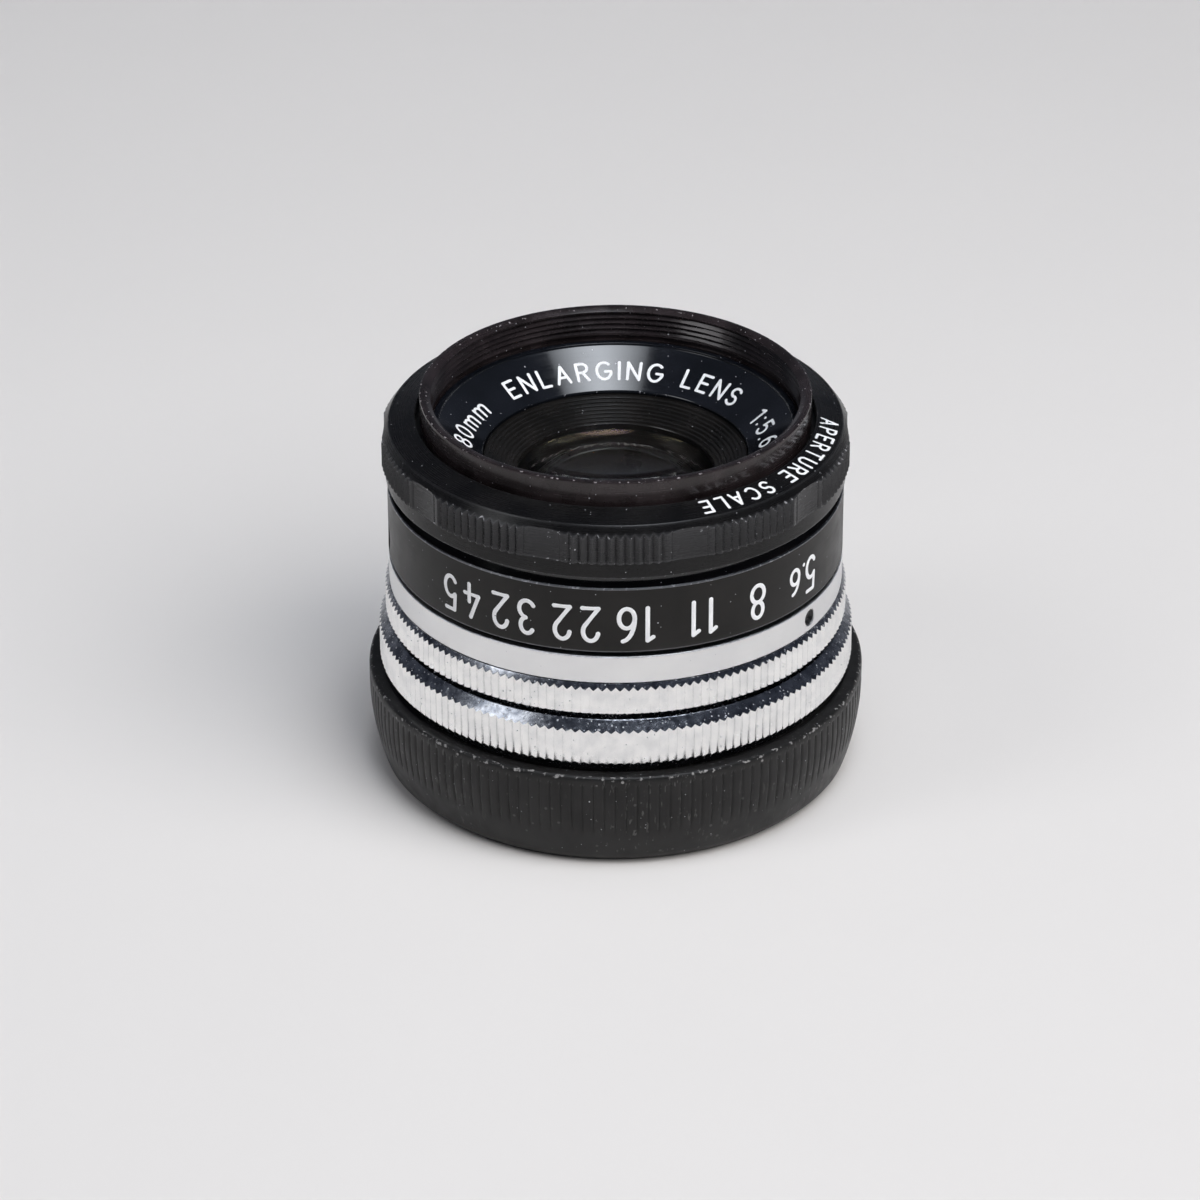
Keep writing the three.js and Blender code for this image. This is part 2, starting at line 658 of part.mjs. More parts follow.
/** Outline of one cam slot: the pin's path widened to both sides, with pointed ends. */
function slotShape() {
  const half = DRIVE_RADIUS + PIN_GAP;
  const steps = Array.from({ length: SLOT_STEPS + 1 }, (_, step) => (RING_TRAVEL * step) / SLOT_STEPS);
  const side = (travel, sign) => {
    const along = slotPath(travel + 0.5).sub(slotPath(travel - 0.5)).normalize();
    return slotPath(travel).add(new THREE.Vector2(-along.y, along.x).multiplyScalar(sign * half));
  };
  const beyond = THREE.MathUtils.radToDeg((1.3 * half) / PIVOT_CIRCLE);
  return new THREE.Shape([
    slotPath(-beyond),
    ...steps.map((travel) => side(travel, 1)),
    slotPath(RING_TRAVEL + beyond),
    ...steps.reverse().map((travel) => side(travel, -1)),
  ]);
}

function irisCamRing() {
  const innerWall = camRadius - CAM_RIM_WALL;
  const ring = turned([
    [CAM_BORE, camBottom],
    [camRadius, camBottom],
    [camRadius, camTop],
    [innerWall, camTop],
    [innerWall, camPlateTop],
    [CAM_BORE, camPlateTop],
  ]);
  const slots = Array.from({ length: BLADES }, (_, index) => {
    const tool = flat(slotShape(), camBottom - 1, camPlateTop + 1);
    return tool.rotateZ((2 * Math.PI * index) / BLADES - Math.PI / 2);
  });
  const hole = spoke(COUPLING_SHANK + HOLE_GAP, innerWall - 1, camRadius + 1, COUPLING_ANGLE,
    couplingHeight, 12);
  piece("iris_cam_ring", cut(ring, [...slots, hole]), "blackMatt");
}

function camClip() {
  const clip = sector(camRadius - CLIP_WIDTH, camRadius, CLIP_OPENING / 2, 360 - CLIP_OPENING / 2,
    clipBottom, clipBottom + CLIP_THICKNESS, 36);
  piece("cam_clip", clip, "steel");
}

// ---- Front cell and glass -----------------------------------------------------------------

function frontCell() {
  const glassBore = FRONT_GLASS_RADIUS + SEAT_GAP;
  const innerBore = INNER_GLASS_RADIUS + SEAT_GAP;
  const seat = cellBottom - FRONT_SEAT;
  const flange = mouthRadius - SEAT_GAP;
  const outline = [
    [CELL_LIP_RADIUS, cellTubeEnd],
    [CELL_TUBE_RADIUS, cellTubeEnd],
    [CELL_TUBE_RADIUS, cellBottom],
    [flange, cellBottom],
    [flange, cellFlangeTop],
    [CELL_TOP_RADIUS, cellFlangeTop],
    [CELL_TOP_RADIUS, cellTop],
    [glassBore, cellTop],
    [glassBore, seat],
    [innerBore, seat],
    [innerBore, cellTubeEnd + CELL_LIP],
    [CELL_LIP_RADIUS, cellTubeEnd + CELL_LIP],
  ];
  piece("front_cell", turned(outline), "blackMatt");
}

function frontGlass() {
  const flintBottom = cellBottom - FRONT_SEAT + SEAT_GAP;
  const flintTop = flintBottom + FLINT_EDGE;
  const crownBottom = flintTop + CEMENT_GAP;
  const crownTop = crownBottom + CROWN_EDGE;
  const radius = FRONT_GLASS_RADIUS;
  piece("front_crown_element",
    element(radius, [crownTop, CROWN_FRONT_CURVE, 1], [crownBottom, CEMENT_CURVE, -1]), "glass");
  piece("front_flint_element",
    element(radius, [flintTop, CEMENT_CURVE, -1], [flintBottom, FLINT_REAR_CURVE, 1]), "glass");
  const innerBottom = cellTubeEnd + CELL_LIP + SEAT_GAP;
  const innerTop = innerBottom + MENISCUS_EDGE;
  piece("front_inner_element", element(INNER_GLASS_RADIUS,
    [innerTop, MENISCUS_OUTER_CURVE, 1], [innerBottom, MENISCUS_INNER_CURVE, 1]), "glass");
  const ringBore = INNER_GLASS_RADIUS - INNER_RING_WALL;
  const rise = sag(MENISCUS_OUTER_CURVE, INNER_GLASS_RADIUS) - sag(MENISCUS_OUTER_CURVE, ringBore);
  const ringBottom = innerTop + rise + SEAT_GAP;
  piece("front_inner_retainer",
    plainRing(ringBore, INNER_GLASS_RADIUS, ringBottom, ringBottom + INNER_RING_HEIGHT, GLASS_FACETS),
    "blackMatt");
}

function frontRetainer() {
  const outer = mouthRadius - SEAT_GAP;
  const ring = plainRing(RETAINER_BORE, outer, retainerBottom, retainerBottom + RETAINER_HEIGHT);
  const notchWidth = 1.6;
  const notchDepth = 0.9;
  const notch = new THREE.BoxGeometry(2 * outer + 2, notchWidth, 2 * notchDepth);
  notch.translate(0, 0, retainerBottom + RETAINER_HEIGHT);
  piece("front_cell_retainer", cut(ring, [closed(notch)]), "blackMatt");
}

function frontBaffle() {
  const outline = [
    [BAFFLE_MOUTH, baffleBottom],
    [baffleRadius, baffleBottom],
    [baffleRadius, baffleBottom + BAFFLE_HEIGHT],
    [BAFFLE_MOUTH, baffleBottom + BAFFLE_LIP],
  ];
  piece("front_baffle", turned(outline), "blackMatt");
}

// ---- Rear cell and glass ------------------------------------------------------------------

function rearCell() {
  const bottom = mountEnd + REAR_CELL_INSET;
  const shoulder = floorUnderside - SEAT_GAP;
  const shelf = shoulder - REAR_SHELF;
  const top = plateBottom - 2 * SEAT_GAP - HOLE_GAP;
  const glassBore = REAR_GLASS_RADIUS + SEAT_GAP;
  const innerBore = INNER_GLASS_RADIUS + SEAT_GAP;
  const outline = [
    [glassBore, bottom],
    [rearCellRadius, bottom],
    [rearCellRadius, shoulder],
    [FLOOR_BORE - CEMENT_GAP - HOLE_GAP, shoulder],
    [FLOOR_BORE - CEMENT_GAP - HOLE_GAP, top],
    [CELL_LIP_RADIUS, top],
    [CELL_LIP_RADIUS, top - CELL_LIP],
    [innerBore, top - CELL_LIP],
    [innerBore, shelf],
    [glassBore, shelf],
  ];
  piece("rear_cell", turned(outline), "blackMatt");

  const innerTop = top - CELL_LIP - SEAT_GAP;
  const innerBottom = innerTop - MENISCUS_EDGE;
  piece("rear_inner_element", element(INNER_GLASS_RADIUS,
    [innerTop, MENISCUS_INNER_CURVE, -1], [innerBottom, MENISCUS_OUTER_CURVE, -1]), "glass");
  const ringBore = INNER_GLASS_RADIUS - INNER_RING_WALL;
  const rise = sag(MENISCUS_OUTER_CURVE, INNER_GLASS_RADIUS) - sag(MENISCUS_OUTER_CURVE, ringBore);
  const ringTop = innerBottom - rise - SEAT_GAP;
  piece("rear_inner_retainer",
    plainRing(ringBore, INNER_GLASS_RADIUS, ringTop - INNER_RING_HEIGHT, ringTop, GLASS_FACETS), "blackMatt");
  rearGlass(shelf);
}

/** Rear doublet, the spacer above it up to the cell's shelf, and the ring that holds it. */
function rearGlass(shelf) {
  const crownBottom = mountEnd + REAR_GLASS_INSET;
  const crownTop = crownBottom + REAR_CROWN_EDGE;
  const flintBottom = crownTop + CEMENT_GAP;
  const flintTop = flintBottom + REAR_FLINT_EDGE;
  const radius = REAR_GLASS_RADIUS;
  piece("rear_crown_element",
    element(radius, [crownTop, CEMENT_CURVE, 1], [crownBottom, REAR_FACE_CURVE, -1]), "glass");
  piece("rear_flint_element",
    element(radius, [flintTop, REAR_INNER_CURVE, -1], [flintBottom, CEMENT_CURVE, 1]), "glass");
  const spacer = plainRing(radius - SPACER_WALL, radius, flintTop + SEAT_GAP, shelf - SEAT_GAP, GLASS_FACETS);
  piece("rear_spacer", spacer, "blackMatt");
  const ringBore = radius - REAR_RING_WALL;
  const rise = sag(REAR_FACE_CURVE, radius) - sag(REAR_FACE_CURVE, ringBore);
  const ringTop = crownBottom - rise - SEAT_GAP;
  piece("rear_retaining_ring",
    plainRing(ringBore, radius, ringTop - REAR_RING_HEIGHT, ringTop, GLASS_FACETS), "blackMatt");
}

// ---- Click stop ---------------------------------------------------------------------------

class Coil extends THREE.Curve {
  constructor(place, radius, bottom, height, turns) {
    super();
    Object.assign(this, { place, radius, bottom, height, turns });
  }

  getPoint(t, target = new THREE.Vector3()) {
    const angle = 2 * Math.PI * this.turns * t;
    const x = this.place.x + this.radius * Math.cos(angle);
    const y = this.place.y + this.radius * Math.sin(angle);
    return target.set(x, y, this.bottom + this.height * t);
  }
}

function clickStop() {
  const place = polar(detentCircle, DETENT_ANGLE);
  const ballCentre = bandBottom - SEAT_GAP - DETENT_BALL;
  const ball = new THREE.SphereGeometry(DETENT_BALL, 12, 8);
  ball.translate(place.x, place.y, ballCentre);
  piece("detent_ball", closed(ball), "steel");

  const springBottom = indexTop - DETENT_DEPTH + SEAT_GAP + SPRING_WIRE;
  const springTop = ballCentre - DETENT_BALL - SPRING_WIRE;
  const coil = new Coil(place, SPRING_RADIUS, springBottom, springTop - springBottom, SPRING_TURNS);
  const wire = new THREE.Shape();
  wire.absarc(0, 0, SPRING_WIRE, 0, 2 * Math.PI);
  const spring = new THREE.ExtrudeGeometry(wire, {
    steps: 8 * SPRING_TURNS,
    curveSegments: 3,
    extrudePath: coil,
  });
  piece("detent_spring", closed(spring), "steel");
}

// ---- Assembly -----------------------------------------------------------------------------

rearCap();
mountFlange();
lockRing();
indexRing();
mainBarrel();
filterRim();
nameRing();
scaleSleeve();
gripRing();
couplingScrew();
irisBasePlate();
for (let index = 0; index < BLADES; index += 1) irisBlade(index);
irisCamRing();
camClip();
frontCell();
frontGlass();
frontRetainer();
frontBaffle();
rearCell();
clickStop();

export default lens;
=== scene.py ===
"""An enlarging lens standing in its rear cap: meshes, finishes, light and camera.

Outlines are in millimetres and meshes in metres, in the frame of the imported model. Angles are in
degrees, anticlockwise from the front of the object (-Y), seen from above.
"""

import logging
import math
from collections.abc import Callable, Iterable, Sequence
from dataclasses import dataclass
from enum import Enum

import bpy
import numpy as np
from mathutils import Matrix, Vector

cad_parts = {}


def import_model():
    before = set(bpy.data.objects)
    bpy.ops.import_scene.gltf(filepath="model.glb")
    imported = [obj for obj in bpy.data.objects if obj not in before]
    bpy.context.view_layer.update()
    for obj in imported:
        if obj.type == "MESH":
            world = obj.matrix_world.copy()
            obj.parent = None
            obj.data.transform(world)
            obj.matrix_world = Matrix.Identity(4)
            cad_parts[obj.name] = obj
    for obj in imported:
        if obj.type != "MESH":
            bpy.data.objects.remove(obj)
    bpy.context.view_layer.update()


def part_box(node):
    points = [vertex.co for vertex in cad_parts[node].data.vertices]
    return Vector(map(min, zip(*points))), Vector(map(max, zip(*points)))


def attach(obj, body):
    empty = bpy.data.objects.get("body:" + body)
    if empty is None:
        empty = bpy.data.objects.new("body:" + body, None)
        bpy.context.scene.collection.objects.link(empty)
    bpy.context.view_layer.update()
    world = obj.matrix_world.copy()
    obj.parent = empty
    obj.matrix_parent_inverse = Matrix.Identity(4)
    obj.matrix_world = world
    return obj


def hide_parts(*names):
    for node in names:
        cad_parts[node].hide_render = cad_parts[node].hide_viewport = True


MM = 0.001
TAU = 2 * math.pi
LOG = logging.getLogger("lens")

Colour = tuple[float, float, float]
Socket = bpy.types.NodeSocket


class Body(Enum):
    """Moving bodies that a piece can ride on."""

    BARREL = "barrel"
    APERTURE = "aperture_ring"
    LOCK = "lock_ring"
    CAP = "rear_cap"


class Slot(Enum):
    """Material slots of the record."""

    BLACK = "black_anodised"
    MATT = "black_matt"
    SATIN = "satin_silver"
    CHROME = "chrome"
    STEEL = "steel"
    BLADE = "blade_steel"
    GLASS = "coated_glass"
    CAP = "cap_plastic"


# ---- Node trees ---------------------------------------------------------------------------


class Recipe:
    """A node tree under construction, for a material or for Geometry Nodes."""

    def __init__(self, tree: bpy.types.NodeTree, prefix: str) -> None:
        """Keeps the tree and the prefix of its node types.

        Args:
            tree: The node tree to fill.
            prefix: Start of the node type names, "ShaderNode" or "GeometryNode".
        """
        self.tree = tree
        self.prefix = prefix

    def add(self, kind: str, **settings: object) -> bpy.types.Node:
        """Adds a node.

        Args:
            kind: Node type after the tree's prefix, or a whole type name.
            settings: Node properties to set.

        Returns:
            The new node.
        """
        whole = kind if kind.startswith(("Shader", "Geometry", "Function")) else self.prefix + kind
        node = self.tree.nodes.new(whole)
        for name, value in settings.items():
            setattr(node, name, value)
        return node

    def feed(self, socket: Socket, value: object) -> None:
        """Links a socket into an input, or sets the input to a value.

        Args:
            socket: The input.
            value: An output socket, or a plain value.
        """
        if isinstance(value, bpy.types.NodeSocket):
            self.tree.links.new(value, socket)
        else:
            socket.default_value = value

    def math(self, operation: str, first: object, second: object = 0.0, third: object = 0.0) -> Socket:
        """Adds a Math node.

        Args:
            operation: Name of the operation.
            first: First operand, a socket or a number.
            second: Second operand.
            third: Third operand.

        Returns:
            The result.
        """
        node = self.add("ShaderNodeMath", operation=operation)
        for socket, value in zip(node.inputs, (first, second, third)):
            self.feed(socket, value)
        return node.outputs[0]

    def vector(self, x: object, y: object, z: object) -> Socket:
        """Combines three numbers.

        Args:
            x: First component.
            y: Second component.
            z: Third component.

        Returns:
            The vector.
        """
        node = self.add("ShaderNodeCombineXYZ")
        for socket, value in zip(node.inputs, (x, y, z)):
            self.feed(socket, value)
        return node.outputs[0]

    def parts(self, vector: Socket) -> tuple[Socket, Socket, Socket]:
        """Separates a vector.

        Args:
            vector: The vector.

        Returns:
            Its three components.
        """
        node = self.add("ShaderNodeSeparateXYZ")
        self.feed(node.inputs[0], vector)
        return node.outputs[0], node.outputs[1], node.outputs[2]


class ShapeTree(Recipe):
    """A Geometry Nodes tree with named inputs, which ends in Realize Instances and Set Material."""

    def __init__(self, name: str, sizes: Sequence[str]) -> None:
        """Makes the group, its inputs and its end.

        Args:
            name: Name of the group.
            sizes: Names of its number inputs.
        """
        group = bpy.data.node_groups.new(name, "GeometryNodeTree")
        super().__init__(group, "GeometryNode")
        face = group.interface
        face.new_socket("Geometry", in_out="INPUT", socket_type="NodeSocketGeometry")
        for size in sizes:
            face.new_socket(size, in_out="INPUT", socket_type="NodeSocketFloat")
        face.new_socket("Finish", in_out="INPUT", socket_type="NodeSocketMaterial")
        face.new_socket("Geometry", in_out="OUTPUT", socket_type="NodeSocketGeometry")
        self.source = group.nodes.new("NodeGroupInput").outputs
        self.sink = group.nodes.new("NodeGroupOutput").inputs

    def attribute(self, name: str) -> Socket:
        """Reads a named number of the mesh.

        Args:
            name: Name of the attribute.

        Returns:
            Its value.
        """
        node = self.add("InputNamedAttribute", data_type="FLOAT")
        node.inputs["Name"].default_value = name
        return node.outputs["Attribute"]

    def close(self, geometry: Socket) -> bpy.types.NodeTree:
        """Ends the tree.

        Args:
            geometry: The finished geometry.

        Returns:
            The group.
        """
        realize = self.add("RealizeInstances")
        paint = self.add("SetMaterial")
        self.feed(realize.inputs["Geometry"], geometry)
        self.feed(paint.inputs["Geometry"], realize.outputs["Geometry"])
        self.feed(paint.inputs["Material"], self.source["Finish"])
        self.feed(self.sink["Geometry"], paint.outputs["Geometry"])
        return self.tree


def knurl_tree() -> bpy.types.NodeTree:
    """Builds the tree that cuts teeth and scallops into a turned ring.

    Vertices whose "bite" is 1 move in to the tooth's flank, and slide by their "climb" so that
    the teeth end exactly on the bevel next to them.

    Returns:
        The group, with inputs Crest, Teeth, Depth, Flat, Turn, Scallops, Scoop Radius and Scoop.
    """
    names = ("Crest", "Teeth", "Depth", "Flat", "Turn", "Scallops", "Scoop Radius", "Scoop")
    tree = ShapeTree("knurl", names)
    size = tree.source
    x, y, _ = tree.parts(tree.add("InputPosition").outputs[0])
    radius = tree.math("SQRT", tree.math("ADD", tree.math("MULTIPLY", x, x), tree.math("MULTIPLY", y, y)))
    angle = tree.math("ADD", tree.math("ARCTAN2", x, tree.math("MULTIPLY", y, -1.0)), size["Turn"])

    lap = tree.math("FRACT", tree.math("MULTIPLY", tree.math("DIVIDE", angle, TAU), size["Teeth"]))
    valley = tree.math("ABSOLUTE", tree.math("MULTIPLY_ADD", lap, 2.0, -1.0))
    open_part = tree.math("SUBTRACT", 1.0, size["Flat"])
    worn = tree.math("DIVIDE", tree.math("SUBTRACT", valley, size["Flat"]), open_part)
    tooth = tree.math("MULTIPLY", tree.math("MAXIMUM", worn, 0.0), size["Depth"])
    flank = tree.math("SUBTRACT", size["Crest"], tooth)

    count = tree.math("MAXIMUM", size["Scallops"], 1.0)
    turn = tree.math("FRACT", tree.math("MULTIPLY", tree.math("DIVIDE", angle, TAU), count))
    off = tree.math("DIVIDE", tree.math("MULTIPLY", tree.math("SUBTRACT", turn, 0.5), TAU), count)
    floor = tree.math("SUBTRACT", size["Crest"], size["Scoop"])
    centre = tree.math("ADD", floor, size["Scoop Radius"])
    across = tree.math("MULTIPLY", centre, tree.math("SINE", off))
    across_square = tree.math("MULTIPLY", across, across)
    scoop_square = tree.math("MULTIPLY", size["Scoop Radius"], size["Scoop Radius"])
    reach = tree.math("SQRT", tree.math("MAXIMUM", tree.math("SUBTRACT", scoop_square, across_square), 0.0))
    scoop = tree.math("SUBTRACT", tree.math("MULTIPLY", centre, tree.math("COSINE", off)), reach)
    without = tree.math("LESS_THAN", size["Scallops"], 0.5)
    scoop_or_none = tree.math("ADD", scoop, without)

    target = tree.math("MINIMUM", tree.math("MINIMUM", flank, scoop_or_none), radius)
    bite = tree.math("MULTIPLY", tree.math("SUBTRACT", radius, target), tree.attribute("bite"))
    share = tree.math("DIVIDE", bite, tree.math("MULTIPLY", radius, -1.0))
    rise = tree.math("MULTIPLY", bite, tree.attribute("climb"))
    shift = tree.vector(tree.math("MULTIPLY", x, share), tree.math("MULTIPLY", y, share), rise)
    move = tree.add("SetPosition")
    tree.feed(move.inputs["Geometry"], size["Geometry"])
    tree.feed(move.inputs["Offset"], shift)
    return tree.close(move.outputs["Geometry"])


def thread_tree() -> bpy.types.NodeTree:
    """Builds the tree that cuts a screw thread into the vertices whose "bite" is 1.

    Returns:
        The group, with inputs Pitch, Depth and Side, which is 1 on a shaft and -1 in a bore.
    """
    tree = ShapeTree("screw_thread", ("Pitch", "Depth", "Side"))
    size = tree.source
    x, y, z = tree.parts(tree.add("InputPosition").outputs[0])
    radius = tree.math("SQRT", tree.math("ADD", tree.math("MULTIPLY", x, x), tree.math("MULTIPLY", y, y)))
    lead = tree.math("DIVIDE", tree.math("ARCTAN2", y, x), TAU)
    lap = tree.math("FRACT", tree.math("ADD", tree.math("DIVIDE", z, size["Pitch"]), lead))
    valley = tree.math("ABSOLUTE", tree.math("MULTIPLY_ADD", lap, 2.0, -1.0))
    groove = tree.math("MULTIPLY", tree.math("MULTIPLY", valley, size["Depth"]), size["Side"])
    bite = tree.math("MULTIPLY", groove, tree.attribute("bite"))
    share = tree.math("DIVIDE", bite, tree.math("MULTIPLY", radius, -1.0))
    shift = tree.vector(tree.math("MULTIPLY", x, share), tree.math("MULTIPLY", y, share), 0.0)
    move = tree.add("SetPosition")
    tree.feed(move.inputs["Geometry"], size["Geometry"])
    tree.feed(move.inputs["Offset"], shift)
    return tree.close(move.outputs["Geometry"])


def lettering_tree() -> bpy.types.NodeTree:
    """Builds the tree that turns flat pen strokes into paint on a cylinder or a cone.

    X runs along the line of writing, Y up the letters. The line lies on a circle of a given
    radius and height, clockwise seen from above, and the letters lean by the angle Lean.

    Returns:
        The group, with inputs Radius, Height, Angle, Lean, Pen and Relief.
    """
    tree = ShapeTree("lettering", ("Radius", "Height", "Angle", "Lean", "Pen", "Relief"))
    size = tree.source
    nib = tree.add("CurvePrimitiveCircle")
    nib.inputs["Resolution"].default_value = 10
    tree.feed(nib.inputs["Radius"], size["Pen"])
    sweep = tree.add("CurveToMesh")
    tree.feed(sweep.inputs["Curve"], size["Geometry"])
    tree.feed(sweep.inputs["Profile Curve"], nib.outputs["Curve"])
    tree.feed(sweep.inputs["Scale"], tree.add("InputRadius").outputs[0])
    sweep.inputs["Fill Caps"].default_value = True

    x, y, z = tree.parts(tree.add("InputPosition").outputs[0])
    proud = tree.math("MULTIPLY", z, size["Relief"])
    lean_sine = tree.math("SINE", size["Lean"])
    lean_cosine = tree.math("COSINE", size["Lean"])
    sink = tree.math("MULTIPLY", proud, lean_sine)
    outward_part = tree.math("SUBTRACT", tree.math("MULTIPLY", y, lean_cosine), sink)
    upward = tree.math("ADD", tree.math("MULTIPLY", y, lean_sine), tree.math("MULTIPLY", proud, lean_cosine))
    radius = tree.math("ADD", size["Radius"], outward_part)
    angle = tree.math("SUBTRACT", size["Angle"], tree.math("DIVIDE", x, size["Radius"]))
    east = tree.math("MULTIPLY", radius, tree.math("SINE", angle))
    north = tree.math("MULTIPLY", tree.math("MULTIPLY", radius, tree.math("COSINE", angle)), -1.0)
    wrap = tree.add("SetPosition")
    tree.feed(wrap.inputs["Geometry"], sweep.outputs["Mesh"])
    tree.feed(wrap.inputs["Position"], tree.vector(east, north, tree.math("ADD", size["Height"], upward)))
    return tree.close(wrap.outputs["Geometry"])


# ---- Finishes -----------------------------------------------------------------------------


class Surface(Recipe):
    """A material under construction, with coordinates in millimetres from the object's origin."""

    def __init__(self, name: str) -> None:
        """Makes the material and its coordinates.

        Args:
            name: Name of the material.
        """
        self.material = bpy.data.materials.new(name)
        self.material.use_nodes = True
        super().__init__(self.material.node_tree, "ShaderNode")
        self.shader = self.tree.nodes["Principled BSDF"]
        scale = self.add("VectorMath", operation="SCALE")
        self.feed(scale.inputs[0], self.add("TexCoord").outputs["Object"])
        scale.inputs["Scale"].default_value = 1 / MM
        self.place = scale.outputs[0]

    def noise(self, scale: float, detail: float = 3.0, where: Socket | None = None) -> Socket:
        """Adds a Noise texture.

        Args:
            scale: Features per millimetre.
            detail: Octaves.
            where: Coordinates, the place by default.

        Returns:
            The noise, from 0 to 1.
        """
        node = self.add("TexNoise")
        self.feed(node.inputs["Vector"], where or self.place)
        node.inputs["Scale"].default_value = scale
        node.inputs["Detail"].default_value = detail
        return node.outputs[0]

    def ramp(self, value: Socket, low: float, high: float, start: float = 0.0, end: float = 1.0) -> Socket:
        """Maps a range of values to another one, clamped.

        Args:
            value: The value.
            low: Value that becomes start.
            high: Value that becomes end.
            start: Lowest result.
            end: Highest result.

        Returns:
            The mapped value.
        """
        node = self.add("MapRange")
        for socket, number in zip(node.inputs, (value, low, high, start, end)):
            self.feed(socket, number)
        return node.outputs[0]

    def mix(self, share: object, first: object, second: object) -> Socket:
        """Mixes two colours.

        Args:
            share: How much of the second one.
            first: A colour or a socket.
            second: A colour or a socket.

        Returns:
            The mixed colour.
        """
        node = self.add("Mix", data_type="RGBA")
        self.feed(node.inputs[0], share)
        for socket, colour in ((node.inputs[6], first), (node.inputs[7], second)):
            self.feed(socket, colour if isinstance(colour, bpy.types.NodeSocket) else (*colour, 1.0))
        return node.outputs[2]

    def specks(self, per_mm: float, size: float, share: float) -> Socket:
        """Scatters round specks.

        Args:
            per_mm: Cells per millimetre.
            size: Radius of a speck, as a part of its cell.
            share: Part of the cells that hold a speck.

        Returns:
            1 in a speck and 0 elsewhere.
        """
        cells = self.add("TexVoronoi")
        self.feed(cells.inputs["Vector"], self.place)
        cells.inputs["Scale"].default_value = per_mm
        chosen = self.math("LESS_THAN", self.parts(cells.outputs["Color"])[0], share)
        inside = self.ramp(cells.outputs["Distance"], size, 0.6 * size)
        return self.math("MULTIPLY", chosen, inside)

    def bump(self, height: Socket, distance: float, under: Socket | None = None) -> Socket:
        """Adds a Bump node.

        Args:
            height: Height from 0 to 1.
            distance: Height of 1, in millimetres.
            under: Normal to start from.

        Returns:
            The bumped normal.
        """
        node = self.add("Bump")
        node.inputs["Strength"].default_value = 1.0
        node.inputs["Distance"].default_value = distance * MM
        self.feed(node.inputs["Height"], height)
        if under is not None:
            self.feed(node.inputs["Normal"], under)
        return node.outputs[0]

    def around(self, lines: float, along: float = 0.05) -> Socket:
        """Gives coordinates that run round the axis, for turning marks.

        Args:
            lines: Features per millimetre across the marks.
            along: Features per millimetre along them.

        Returns:
            The coordinates.
        """
        x, y, z = self.parts(self.place)
        radius = self.math("SQRT", self.math("ADD", self.math("MULTIPLY", x, x), self.math("MULTIPLY", y, y)))
        swing = self.math("MULTIPLY", self.math("ARCTAN2", x, y), 20.0 * along)
        return self.vector(self.math("MULTIPLY", radius, lines), self.math("MULTIPLY", z, lines), swing)


@dataclass
class Layers:
    """What a finish feeds into its shader, while its marks are laid on one by one."""

    colour: Socket
    metal: Socket | float
    gloss: Socket
    normal: Socket | None = None


